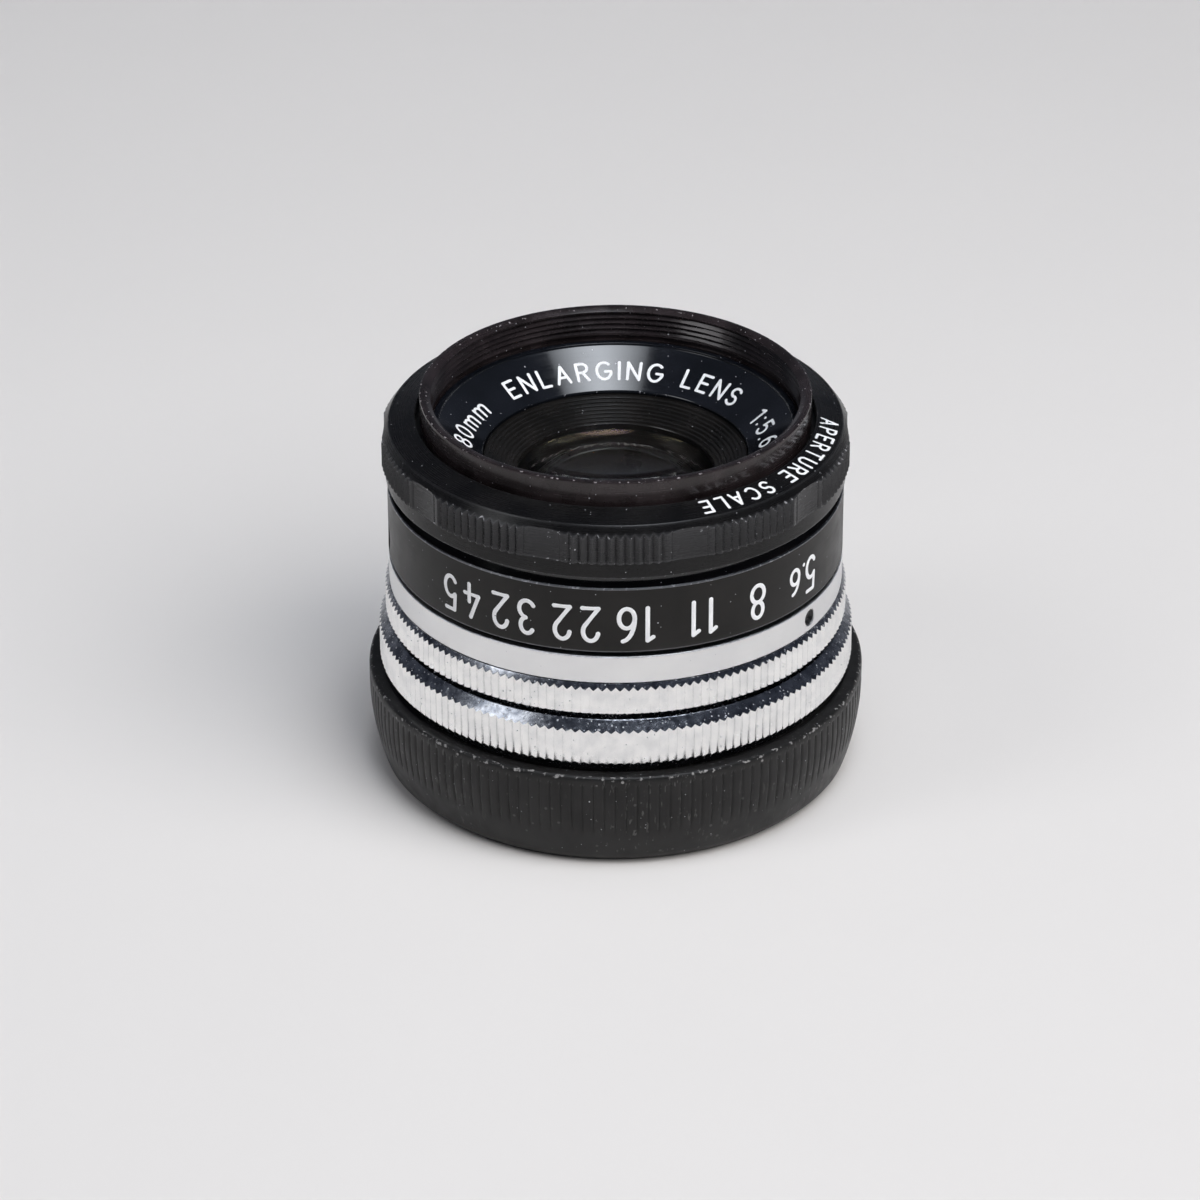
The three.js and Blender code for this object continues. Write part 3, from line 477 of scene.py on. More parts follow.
@dataclass(frozen=True)
class Finish:
    """A metal, lacquer, paint or moulding, with its marks of use and a painted highlight along its edges.

    Attributes:
        name: Name of the finish.
        slot: Material slot of the record.
        colour: Main colour.
        drift: Colour of its soft patches.
        metallic: Share of metal.
        smooth: Roughness of the smoothest patches.
        rough: Roughness of the roughest patches.
        patch: Patches per millimetre.
        turning: Depth of the turning marks, in millimetres.
        turning_lines: Turning marks per millimetre.
        grain: Depth of the grain, in millimetres.
        grain_scale: Grains per millimetre.
        pits: Share of cells with a pit.
        pit_colour: Colour in the pits.
        dust: Share of cells with a grain of dust.
        wear: How far the edges are rubbed.
        wear_and_highlight_colour: Colour of rubbed and chipped edges, and of the painted edge highlight.
        scuffs: How plain the upright scuffs are.
        scuff_colour: Their colour.
        chips: Share of cells with a chip along the edges.
        painted_edge_highlight: How strongly the edges are painted lighter, as a highlight that stands in for
            light reflected by their roundings.
        coat: Weight of the clear coat.
        specular: Specular level.
    """

    name: str
    slot: Slot
    colour: Colour
    drift: Colour
    metallic: float = 0.0
    smooth: float = 0.3
    rough: float = 0.4
    patch: float = 0.3
    turning: float = 0.0
    turning_lines: float = 14.0
    grain: float = 0.0
    grain_scale: float = 8.0
    pits: float = 0.0
    pit_colour: Colour = (0.9, 0.9, 0.92)
    dust: float = 0.0
    wear: float = 0.0
    wear_and_highlight_colour: Colour = (0.62, 0.62, 0.64)
    scuffs: float = 0.0
    scuff_colour: Colour = (0.35, 0.35, 0.35)
    chips: float = 0.0
    painted_edge_highlight: float = 0.0
    coat: float = 0.0
    specular: float = 0.5

    def material(self) -> bpy.types.Material:
        """Builds the material, or gives the one that was built before.

        Returns:
            The material.
        """
        label = self.name + "_finish"
        known = bpy.data.materials.get(label)
        if known is not None:
            return known
        surface = Surface(label)
        cloud = surface.ramp(surface.noise(self.patch, 4.0), 0.35, 0.65)
        gloss = surface.ramp(surface.noise(2.3 * self.patch, 5.0), 0.3, 0.7, self.smooth, self.rough)
        layers = Layers(surface.mix(cloud, self.colour, self.drift), self.metallic, gloss)
        self.machine(surface, layers)
        self.scuff(surface, layers)
        self.pit(surface, layers)
        self.dust_over(surface, layers)
        self.rub_and_highlight_edges(surface, layers)
        shader = surface.shader
        surface.feed(shader.inputs["Base Color"], layers.colour)
        surface.feed(shader.inputs["Metallic"], layers.metal)
        surface.feed(shader.inputs["Roughness"], layers.gloss)
        shader.inputs["Coat Weight"].default_value = self.coat
        shader.inputs["Coat Roughness"].default_value = 0.08
        shader.inputs["Specular IOR Level"].default_value = self.specular
        if layers.normal is not None:
            surface.feed(shader.inputs["Normal"], layers.normal)
        return surface.material

    def machine(self, surface: Surface, layers: Layers) -> None:
        """Lays on the turning marks and the grain.

        Args:
            surface: The material under construction.
            layers: Its layers, which change.
        """
        if self.turning > 0:
            marks = surface.noise(1.0, 3.0, surface.around(self.turning_lines))
            layers.normal = surface.bump(marks, self.turning)
            layers.gloss = surface.math("ADD", layers.gloss, surface.ramp(marks, 0.3, 0.7, -0.04, 0.06))
        if self.grain > 0:
            layers.normal = surface.bump(surface.noise(self.grain_scale, 2.0), self.grain, layers.normal)

    def scuff(self, surface: Surface, layers: Layers) -> None:
        """Lays on upright scuffs in patches.

        Args:
            surface: The material under construction.
            layers: Its layers, which change.
        """
        if self.scuffs <= 0:
            return
        x, y, z = surface.parts(surface.place)
        upright = surface.vector(x, y, surface.math("MULTIPLY", z, 0.22))
        streak = surface.noise(3.2, 4.0, upright)
        area = surface.ramp(surface.noise(0.1, 2.0), 0.47, 0.6)
        mark = surface.math("MULTIPLY", surface.ramp(streak, 0.61, 0.68), area)
        share = surface.math("MULTIPLY", mark, self.scuffs)
        layers.colour = surface.mix(share, layers.colour, self.scuff_colour)
        layers.gloss = surface.math("ADD", layers.gloss, surface.math("MULTIPLY", share, 0.2))

    def pit(self, surface: Surface, layers: Layers) -> None:
        """Lays on fine and coarse pits.

        Args:
            surface: The material under construction.
            layers: Its layers, which change.
        """
        if self.pits <= 0:
            return
        fine = surface.specks(3.1, 0.26, self.pits)
        coarse = surface.specks(1.3, 0.13, 0.6 * self.pits)
        spot = surface.math("MAXIMUM", fine, coarse)
        layers.colour = surface.mix(spot, layers.colour, self.pit_colour)
        layers.gloss = surface.math("ADD", layers.gloss, surface.math("MULTIPLY", spot, 0.25))
        layers.normal = surface.bump(surface.math("MULTIPLY", spot, -1.0), 0.02, layers.normal)

    def dust_over(self, surface: Surface, layers: Layers) -> None:
        """Lays on grains of dust, which hide the metal.

        Args:
            surface: The material under construction.
            layers: Its layers, which change.
        """
        if self.dust <= 0:
            return
        fine = surface.specks(2.2, 0.12, self.dust)
        grains = surface.math("MAXIMUM", fine, surface.specks(0.8, 0.07, self.dust))
        layers.colour = surface.mix(surface.math("MULTIPLY", grains, 0.8), layers.colour, (0.55, 0.55, 0.58))
        layers.gloss = surface.math("ADD", layers.gloss, surface.math("MULTIPLY", grains, 0.5))
        layers.metal = surface.math("MULTIPLY", surface.math("SUBTRACT", 1.0, grains), self.metallic)

    def rub_and_highlight_edges(self, surface: Surface, layers: Layers) -> None:
        """Paints a highlight along the edges, then chips and rubs them, by the "wear" of the mesh.

        Args:
            surface: The material under construction.
            layers: Its layers, which change.
        """
        edge = surface.add("Attribute", attribute_name="wear").outputs["Fac"]
        # Painted highlight: the edges are lightened towards the highlight colour and made more metallic, in
        # place of the light that their roundings would reflect.
        if self.painted_edge_highlight > 0:
            ridge = surface.math("MULTIPLY", surface.math("POWER", edge, 2.0), self.painted_edge_highlight)
            layers.colour = surface.mix(ridge, layers.colour, self.wear_and_highlight_colour)
            layers.metal = surface.math("MAXIMUM", layers.metal, surface.ramp(ridge, 0.0, 0.3))
        if self.chips > 0:
            nick = surface.specks(1.7, 0.3, self.chips)
            chip = surface.math("MULTIPLY", nick, surface.ramp(edge, 0.3, 0.6))
            layers.colour = surface.mix(chip, layers.colour, self.wear_and_highlight_colour)
            layers.normal = surface.bump(surface.math("MULTIPLY", chip, -1.0), 0.04, layers.normal)
        if self.wear > 0:
            rubbed = surface.math("MULTIPLY", edge, surface.noise(2.4, 5.0))
            start = 0.66 - 0.3 * self.wear
            bare = surface.ramp(rubbed, start, start + 0.08)
            layers.colour = surface.mix(bare, layers.colour, self.wear_and_highlight_colour)
            layers.gloss = surface.math("ADD", layers.gloss, surface.math("MULTIPLY", bare, 0.1))


@dataclass(frozen=True)
class CoatedGlass:
    """Optical glass with a thin antireflection coating."""

    name: str
    slot: Slot
    index: float = 1.62
    film: float = 115.0
    tint: Colour = (0.97, 0.98, 0.96)

    def material(self) -> bpy.types.Material:
        """Builds the material, or gives the one that was built before.

        Returns:
            The material.
        """
        label = self.name + "_finish"
        known = bpy.data.materials.get(label)
        if known is not None:
            return known
        surface = Surface(label)
        shader = surface.shader
        haze = surface.ramp(surface.noise(0.5, 4.0), 0.45, 0.75, 0.0, 0.035)
        surface.feed(shader.inputs["Roughness"], haze)
        shader.inputs["Base Color"].default_value = (*self.tint, 1.0)
        shader.inputs["Transmission Weight"].default_value = 1.0
        shader.inputs["IOR"].default_value = self.index
        shader.inputs["Thin Film Thickness"].default_value = self.film
        shader.inputs["Thin Film IOR"].default_value = 1.38
        return surface.material


# The grip's chamfer edges get a faint painted highlight line, lighter than the black.
GRIP_BLACK = Finish(
    "grip_black", Slot.BLACK, (0.0038, 0.0036, 0.0038), (0.0075, 0.007, 0.007), 0.0, 0.2, 0.3,
    patch=0.25, turning=0.001, dust=0.16, wear=0.3, wear_and_highlight_colour=(0.42, 0.42, 0.44), painted_edge_highlight=0.12,
    specular=0.26,
)
NECK_BLACK = Finish(
    "neck_black", Slot.BLACK, (0.003, 0.003, 0.004), (0.006, 0.0055, 0.006), 0.0, 0.1, 0.18,
    turning=0.0008, dust=0.1, wear=0.2, coat=0.3,
)
# The band's edges get a painted highlight line, lighter than the black.
SCALE_BLACK = Finish(
    "scale_black", Slot.BLACK, (0.0078, 0.007, 0.0064), (0.0125, 0.0112, 0.0102), 0.0, 0.3, 0.4,
    patch=0.2, turning=0.002, turning_lines=10.0, dust=0.08, wear=0.3, wear_and_highlight_colour=(0.5, 0.51, 0.54),
    painted_edge_highlight=0.4, specular=0.26,
)
RIM_BLACK = Finish(
    "rim_black", Slot.BLACK, (0.014, 0.010, 0.010), (0.034, 0.025, 0.026), 0.3, 0.16, 0.28, patch=0.35,
    turning=0.0015, dust=0.16, wear=0.25, wear_and_highlight_colour=(0.5, 0.45, 0.46), coat=0.2,
)
NAME_BLACK = Finish(
    "name_black", Slot.BLACK, (0.003, 0.0038, 0.0055), (0.006, 0.007, 0.010), 0.0, 0.1, 0.16,
    turning=0.0008, dust=0.16, wear=0.1, wear_and_highlight_colour=(0.3, 0.3, 0.32), coat=0.4,
)
MATT_BLACK = Finish(
    "inner_black", Slot.MATT, (0.007, 0.007, 0.007), (0.012, 0.0115, 0.011), 0.0, 0.4, 0.55,
    turning=0.003, dust=0.1, wear=0.2, wear_and_highlight_colour=(0.2, 0.2, 0.2),
)
BAFFLE_BLACK = Finish(
    "baffle_black", Slot.MATT, (0.0075, 0.007, 0.0065), (0.013, 0.0115, 0.0105), 0.0, 0.16, 0.26,
    turning=0.0015, dust=0.1, wear=0.1, wear_and_highlight_colour=(0.15, 0.14, 0.13),
)
SATIN_SILVER = Finish(
    "satin_metal", Slot.SATIN, (0.80, 0.80, 0.805), (0.86, 0.86, 0.855), 1.0, 0.34, 0.42, patch=0.15,
    turning=0.003, turning_lines=18.0, dust=0.05, wear=0.7, wear_and_highlight_colour=(0.95, 0.95, 0.96),
)
TOOTH_CHROME = Finish(
    "tooth_chrome", Slot.CHROME, (0.93, 0.925, 0.915), (0.80, 0.80, 0.80), 1.0, 0.14, 0.24, patch=0.8,
    grain=0.002, pits=0.06, wear=0.5, wear_and_highlight_colour=(0.98, 0.98, 0.98),
)
BEVEL_CHROME = Finish(
    "bevel_chrome", Slot.CHROME, (0.14, 0.152, 0.18), (0.40, 0.415, 0.45), 1.0, 0.14, 0.3, patch=1.1,
    grain=0.008, grain_scale=2.6, pits=0.34, wear=0.6, wear_and_highlight_colour=(0.95, 0.95, 0.96),
)
RING_BRONZE = Finish(
    "ring_bronze", Slot.MATT, (0.085, 0.075, 0.08), (0.13, 0.115, 0.12), 0.4, 0.25, 0.4, turning=0.001,
    dust=0.05,
)
THREAD_CHROME = Finish(
    "thread_chrome", Slot.CHROME, (0.68, 0.68, 0.70), (0.8, 0.8, 0.8), 1.0, 0.2, 0.32, turning=0.0005,
    turning_lines=6.0, dust=0.05, wear=0.4,
)
SCREW_STEEL = Finish(
    "screw_steel", Slot.STEEL, (0.42, 0.42, 0.44), (0.55, 0.55, 0.56), 1.0, 0.25, 0.4, patch=1.5,
    grain=0.004, pits=0.15, wear=0.6,
)
BLADE_STEEL = Finish(
    "blackened_steel", Slot.BLADE, (0.045, 0.045, 0.05), (0.07, 0.066, 0.064), 0.7, 0.35, 0.5,
    turning=0.001, dust=0.03, grain=0.001,
)
CAP_BLACK = Finish(
    "cap_black", Slot.CAP, (0.0085, 0.008, 0.0078), (0.0145, 0.0138, 0.0135), 0.0, 0.34, 0.5, patch=0.3,
    grain=0.004, grain_scale=5.0, dust=0.14, wear=0.3, wear_and_highlight_colour=(0.26, 0.25, 0.245), scuffs=0.4,
    scuff_colour=(0.16, 0.155, 0.15), chips=0.1, specular=0.3,
)
WHITE_PAINT = Finish(
    "white_paint", Slot.BLACK, (0.94, 0.94, 0.94), (0.86, 0.86, 0.87), 0.0, 0.4, 0.6, patch=1.5,
    grain=0.006, grain_scale=6.0, pits=0.03, pit_colour=(0.3, 0.3, 0.3),
)
PIT_BLACK = Finish(
    "pit_black", Slot.BLACK, (0.004, 0.004, 0.004), (0.014, 0.014, 0.014), 0.0, 0.25, 0.4, dust=0.3,
)
GLASS = CoatedGlass("coated_glass", Slot.GLASS)
INNER_GLASS = CoatedGlass("inner_glass", Slot.GLASS, index=1.65, film=100.0, tint=(0.93, 0.96, 0.93))


# ---- Mesh building ------------------------------------------------------------------------


@dataclass(frozen=True)
class Envelope:
    """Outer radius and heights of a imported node, in millimetres."""

    radius: float
    low: float
    high: float

    @staticmethod
    def of(node: str) -> "Envelope":
        """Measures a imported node.

        Args:
            node: Name of the node.

        Returns:
            Its envelope about the axis.
        """
        low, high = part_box(node)
        radius = max(high.x, high.y, -low.x, -low.y)
        return Envelope(radius / MM, low.z / MM, high.z / MM)


@dataclass(frozen=True)
class Corner:
    """A corner of a turned outline, in millimetres, with what the knurl does to it."""

    radius: float
    height: float
    fillet: float = 0.0
    # Edge weight: where the edges are rubbed and chipped, and where the painted edge highlight lies.
    wear: float = 0.0
    bite: float = 0.0
    climb: float = 0.0


def soften(corners: Sequence[Corner], steps: int = 4) -> list[Corner]:
    """Rounds the corners that have a fillet, with a narrow support line on both sides.

    Args:
        corners: Closed outline.
        steps: Steps along a rounding.

    Returns:
        The finer outline.
    """
    fine: list[Corner] = []
    for index, corner in enumerate(corners):
        here = Vector((corner.radius, corner.height))
        before = corners[index - 1]
        after = corners[(index + 1) % len(corners)]
        back = Vector((before.radius, before.height)) - here
        ahead = Vector((after.radius, after.height)) - here
        reach = min(corner.fillet, 0.4 * back.length, 0.4 * ahead.length)
        if corner.fillet <= 0 or reach <= 0:
            fine.append(corner)
            continue
        start = here + back.normalized() * reach
        end = here + ahead.normalized() * reach
        support = 0.2 * reach
        first = start + back.normalized() * support
        last = end + ahead.normalized() * support
        fine.append(Corner(first.x, first.y))
        for step in range(steps + 1):
            t = step / steps
            point = start * (1 - t) ** 2 + here * (2 * t * (1 - t)) + end * t**2
            fine.append(Corner(point.x, point.y, 0.0, corner.wear))
        fine.append(Corner(last.x, last.y))
    return fine


def revolve(name: str, corners: Sequence[Corner], segments: int = 256) -> bpy.types.Object:
    """Makes a solid of revolution about Z from a closed outline.

    Args:
        name: Name of the object.
        corners: The outline in millimetres. Points on the axis become poles.
        segments: Steps round the axis.

    Returns:
        The object, with its attributes wear, bite and climb.
    """
    turn = np.arange(segments) * TAU / segments - TAU / 4
    rings: list[list[int]] = []
    points: list[tuple[float, float, float]] = []
    marks: dict[str, list[float]] = {"wear": [], "bite": [], "climb": []}
    for corner in corners:
        pole = corner.radius < 1e-6
        around = turn[:1] if pole else turn
        first = len(points)
        radius = corner.radius
        points.extend((radius * math.cos(a), radius * math.sin(a), corner.height) for a in around)
        rings.append([first] * segments if pole else list(range(first, first + segments)))
        for key in marks:
            marks[key].extend([getattr(corner, key)] * len(around))
    faces: list[tuple[int, ...]] = []
    for ring, following in zip(rings, rings[1:] + rings[:1]):
        if ring[0] == ring[1] and following[0] == following[1]:
            continue
        for j in range(segments):
            k = (j + 1) % segments
            quad = (ring[j], ring[k], following[k], following[j])
            faces.append(tuple(dict.fromkeys(quad)))
    vertices = np.array(points)
    mesh = bpy.data.meshes.new(name)
    mesh.from_pydata((vertices * MM).tolist(), [], outward(vertices, faces, segments))
    for key, values in marks.items():
        mesh.attributes.new(key, "FLOAT", "POINT").data.foreach_set("value", values)
    thing = bpy.data.objects.new(name, mesh)
    bpy.context.scene.collection.objects.link(thing)
    return thing


def outward(vertices: np.ndarray, faces: list[tuple[int, ...]], segments: int) -> list[tuple[int, ...]]:
    """Turns a ring's faces outward, judged by one slice of it.

    Args:
        vertices: Points of the ring.
        faces: Its faces, in rings of equal length.
        segments: Faces in each ring.

    Returns:
        The faces, reversed if they pointed inward.
    """
    flow = 0.0
    for face in faces[::segments]:
        corners = vertices[list(face)]
        area = np.cross(corners[1] - corners[0], corners[2] - corners[0])
        if len(corners) == 4:
            area = area + np.cross(corners[2] - corners[0], corners[3] - corners[0])
        flow += float(np.dot(area, corners.mean(axis=0)))
    return [face[::-1] for face in faces] if flow < 0 else faces


def bake(thing: bpy.types.Object, tree: bpy.types.NodeTree, **values: object) -> bpy.types.Object:
    """Runs a Geometry Nodes tree on an object and keeps the result as a plain mesh.

    Args:
        thing: The object.
        tree: The tree.
        values: Inputs by name, with _ for a space.

    Returns:
        An object of the same name with the plain mesh.
    """
    modifier = thing.modifiers.new(tree.name, "NODES")
    modifier.node_group = tree
    sockets = {item.name: item.identifier for item in tree.interface.items_tree if item.in_out == "INPUT"}
    for name, value in values.items():
        modifier[sockets[name.replace("_", " ")]] = value
    return settle(thing)


def settle(thing: bpy.types.Object) -> bpy.types.Object:
    """Turns an object with live modifiers into one with a plain mesh.

    Args:
        thing: The object.

    Returns:
        The plain object, which takes over the name.
    """
    name = thing.name
    depsgraph = bpy.context.evaluated_depsgraph_get()
    source = thing.evaluated_get(depsgraph)
    mesh = bpy.data.meshes.new_from_object(source, preserve_all_data_layers=True, depsgraph=depsgraph)
    mesh.name = name
    bpy.data.objects.remove(thing)
    plain = bpy.data.objects.new(name, mesh)
    bpy.context.scene.collection.objects.link(plain)
    return plain


def carve(thing: bpy.types.Object, tools: Iterable[bpy.types.Object]) -> bpy.types.Object:
    """Subtracts solids from an object.

    Args:
        thing: The object to cut.
        tools: Closed solids, which are removed afterwards.

    Returns:
        The cut object.
    """
    cutters = list(tools)
    for tool in cutters:
        modifier = thing.modifiers.new(tool.name, "BOOLEAN")
        modifier.operation = "DIFFERENCE"
        modifier.solver = "EXACT"
        modifier.object = tool
    done = settle(thing)
    for tool in cutters:
        bpy.data.objects.remove(tool)
    return done


def pointed(thing: bpy.types.Object, degrees: float, height: float) -> bpy.types.Object:
    """Lays an object that was made about Z along a radius of the lens.

    Args:
        thing: The object. Its Z becomes the distance from the axis.
        degrees: Angle of the radius.
        height: Height of the radius, in millimetres.

    Returns:
        The same object.
    """
    lay = Matrix.Rotation(math.radians(90), 4, "X")
    turn = Matrix.Rotation(math.radians(degrees), 4, "Z")
    thing.data.transform(Matrix.Translation((0, 0, height * MM)) @ turn @ lay)
    return thing


def show(thing: bpy.types.Object, body: Body, finish: Finish | CoatedGlass, *nodes: str,
         crease: float = 30.0, keep: bool = False) -> bpy.types.Object:
    """Dresses a finished piece and hands it over to the frame.

    Args:
        thing: The piece.
        body: Body that it rides on.
        finish: Its finish.
        nodes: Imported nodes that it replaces.
        crease: Angle in degrees above which an edge stays sharp.
        keep: Whether the mesh keeps the material slots that it has.

    Returns:
        The piece.
    """
    mesh = thing.data
    mesh.shade_smooth()
    mesh.set_sharp_from_angle(angle=math.radians(crease))
    if not keep:
        mesh.materials.clear()
        mesh.materials.append(finish.material())
    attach(thing, body.value)
    if nodes:
        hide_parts(*nodes)
    LOG.info("%s rides on %s, %d faces", thing.name, body.value, len(mesh.polygons))
    return thing


def dress(node: str, finish: Finish | CoatedGlass) -> None:
    """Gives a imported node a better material.

    Args:
        node: Name of the node.
        finish: Its finish.
    """
    thing = bpy.data.objects[node]
    for slot in thing.material_slots:
        slot.material = finish.material()
    LOG.info("%s is dressed", node)


# ---- Lettering ----------------------------------------------------------------------------


Stroke = list[tuple[float, float]]


def bow(x: float, y: float, wide: float, tall: float, start: float, end: float) -> Stroke:
    """Gives the points of an elliptical arc.

    Args:
        x: Centre.
        y: Centre.
        wide: Half width.
        tall: Half height.
        start: First angle in degrees, from the right.
        end: Last angle.

    Returns:
        The points.
    """
    steps = max(4, round(abs(end - start) / 15))
    angles = [math.radians(start + (end - start) * step / steps) for step in range(steps + 1)]
    return [(x + wide * math.cos(a), y + tall * math.sin(a)) for a in angles]


PEN: dict[str, tuple[float, list[Stroke]]] = {
    " ": (0.35, []),
    ".": (0.0, [[(0, 0), (0.01, 0)]]),
    ":": (0.0, [[(0, 0.2), (0.01, 0.2)], [(0, 0.75), (0.01, 0.75)]]),
    "-": (0.35, [[(0, 0.45), (0.35, 0.45)]]),
    "/": (0.4, [[(0, -0.05), (0.4, 1.05)]]),
    "0": (0.56, [bow(0.28, 0.5, 0.28, 0.5, 90, 450)]),
    "1": (0.2, [[(0, 0.9), (0.2, 1), (0.2, 0)]]),
    "2": (0.56, [bow(0.28, 0.72, 0.27, 0.28, 170, -40) + [(0, 0), (0.57, 0)]]),
    "3": (0.56, [bow(0.26, 0.76, 0.24, 0.24, 150, -80) + bow(0.26, 0.26, 0.29, 0.26, 80, -150)]),
    "4": (0.6, [[(0.36, 1), (0, 0.3), (0.62, 0.3)], [(0.42, 0.54), (0.42, 0)]]),
    "5": (0.55, [[(0.5, 1), (0.08, 1), (0.04, 0.52)] + bow(0.26, 0.31, 0.28, 0.31, 130, -145)]),
    "6": (0.56, [bow(0.46, 0.3, 0.46, 0.7, 95, 180) + bow(0.28, 0.3, 0.28, 0.3, 180, 540)]),
    "8": (0.56, [bow(0.28, 0.76, 0.23, 0.24, -90, 270), bow(0.28, 0.26, 0.28, 0.26, 90, 450)]),
    "A": (0.66, [[(0, 0), (0.33, 1), (0.66, 0)], [(0.12, 0.34), (0.54, 0.34)]]),
    "C": (0.62, [bow(0.36, 0.5, 0.36, 0.5, 48, 312)]),
    "E": (0.5, [[(0.5, 1), (0, 1), (0, 0), (0.5, 0)], [(0, 0.52), (0.42, 0.52)]]),
    "F": (0.48, [[(0.48, 1), (0, 1), (0, 0)], [(0, 0.52), (0.4, 0.52)]]),
    "G": (0.68, [bow(0.36, 0.5, 0.36, 0.5, 50, 345) + [(0.7, 0.46), (0.42, 0.46)]]),
    "I": (0.0, [[(0, 0), (0, 1)]]),
    "L": (0.46, [[(0, 1), (0, 0), (0.46, 0)]]),
    "M": (0.74, [[(0, 0), (0, 1), (0.37, 0.25), (0.74, 1), (0.74, 0)]]),
    "N": (0.6, [[(0, 0), (0, 1), (0.6, 0), (0.6, 1)]]),
    "O": (0.7, [bow(0.35, 0.5, 0.35, 0.5, 90, 450)]),
    "P": (0.52, [[(0, 0), (0, 1), (0.26, 1)] + bow(0.26, 0.74, 0.26, 0.26, 90, -90) + [(0, 0.48)]]),
    "R": (0.56, [[(0, 0), (0, 1), (0.26, 1)] + bow(0.26, 0.74, 0.26, 0.26, 90, -90) + [(0, 0.48)],
                 [(0.26, 0.48), (0.56, 0)]]),
    "S": (0.54, [bow(0.27, 0.75, 0.25, 0.25, 30, 260) + bow(0.27, 0.26, 0.27, 0.26, 80, -155)]),
    "T": (0.56, [[(0, 1), (0.56, 1)], [(0.28, 1), (0.28, 0)]]),
    "U": (0.58, [[(0, 1), (0, 0.3)] + bow(0.29, 0.3, 0.29, 0.3, 180, 360) + [(0.58, 1)]]),
    "m": (0.84, [[(0, 0), (0, 0.68)], bow(0.21, 0.45, 0.21, 0.22, 180, 0) + [(0.42, 0)],
                 bow(0.63, 0.45, 0.21, 0.22, 180, 0) + [(0.84, 0)]]),
}


@dataclass(frozen=True)
class Lettering:
    """One line of writing on a round face."""

    name: str
    text: str
    angle: float
    radius: float
    height: float
    letter: float
    pen: float
    lean: float
    gap: float = 0.3
    width: float = 1.0
    relief: float = 0.12

    def build(self, tree: bpy.types.NodeTree, finish: Finish) -> bpy.types.Object:
        """Writes the text and wraps it on its face.

        Args:
            tree: The lettering tree.
            finish: Finish of the paint.

        Returns:
            The writing, as a plain mesh.
        """
        curve = bpy.data.curves.new(self.name, "CURVE")
        curve.dimensions = "3D"
        size = self.letter - 2 * self.pen
        wide = self.width * size
        spans = [PEN[letter][0] * wide for letter in self.text]
        spaces = self.gap * self.letter + 2 * self.pen
        x = -(sum(spans) + spaces * (len(spans) - 1)) / 2
        for letter, span in zip(self.text, spans):
            for stroke in PEN[letter][1]:
                self.draw(curve, [Vector((x + px * wide, self.pen + py * size)) for px, py in stroke])
            x += span + spaces
        writing = bpy.data.objects.new(self.name, curve)
        bpy.context.scene.collection.objects.link(writing)
        return bake(writing, tree, Radius=self.radius * MM, Height=self.height * MM,
                    Angle=math.radians(self.angle), Lean=math.radians(self.lean), Pen=self.pen * MM,
                    Relief=self.relief, Finish=finish.material())

    def draw(self, curve: bpy.types.Curve, points: list[Vector], sharp: float = 0.8) -> None:
        """Lays a stroke, in parts that meet at its sharp corners.

        Args:
            curve: Curve that takes the parts.
            points: Points of the stroke in millimetres.
            sharp: Turn in radians above which a corner is sharp.
        """
        start = 0
        for index in range(1, len(points) - 1):
            back = points[index] - points[index - 1]
            ahead = points[index + 1] - points[index]
            if back.angle(ahead, 0.0) > sharp:
                self.lay(curve, points[start:index + 1])
                start = index
        self.lay(curve, points[start:])

    def lay(self, curve: bpy.types.Curve, points: list[Vector]) -> None:
        """Adds a stroke with round ends to the curve.

        Args:
            curve: Curve that takes the stroke.
            points: Its points in millimetres.
        """
        first = (points[0] - points[1]).normalized()
        last = (points[-1] - points[-2]).normalized()
        rounding = [(1.0, 0.08), (0.86, 0.5), (0.55, 0.83), (0.25, 0.97)]
        line = [(points[0] + first * (self.pen * out), width) for out, width in rounding]
        line += [(point, 1.0) for point in points]
        line += [(points[-1] + last * (self.pen * out), width) for out, width in reversed(rounding)]
        spline = curve.splines.new("POLY")
        spline.points.add(len(line) - 1)
        for target, (point, width) in zip(spline.points, line):
            target.co = (point.x * MM, point.y * MM, 0.0, 1.0)
            target.radius = width


# ---- Sub-assemblies -----------------------------------------------------------------------


@dataclass
class Tools:
    """The Geometry Nodes trees that the sub-assemblies share."""

    knurl: bpy.types.NodeTree
    thread: bpy.types.NodeTree
    lettering: bpy.types.NodeTree


def plain_ring(name: str, bore: float, radius: float, low: float, high: float, fillet: float = 0.08,
               segments: int = 192) -> bpy.types.Object:
    """Makes a ring of rectangular section with rounded edges.

    Args:
        name: Name of the object.
        bore: Inner radius.
        radius: Outer radius.
        low: Lower height.
        high: Upper height.
        fillet: Rounding of the edges.
        segments: Steps round the axis.

    Returns:
        The ring.
    """
    corners = [Corner(bore, low, fillet, 1.0), Corner(radius, low, fillet, 1.0),
               Corner(radius, high, fillet, 1.0), Corner(bore, high, fillet, 1.0)]
    return revolve(name, soften(corners, 3), segments)


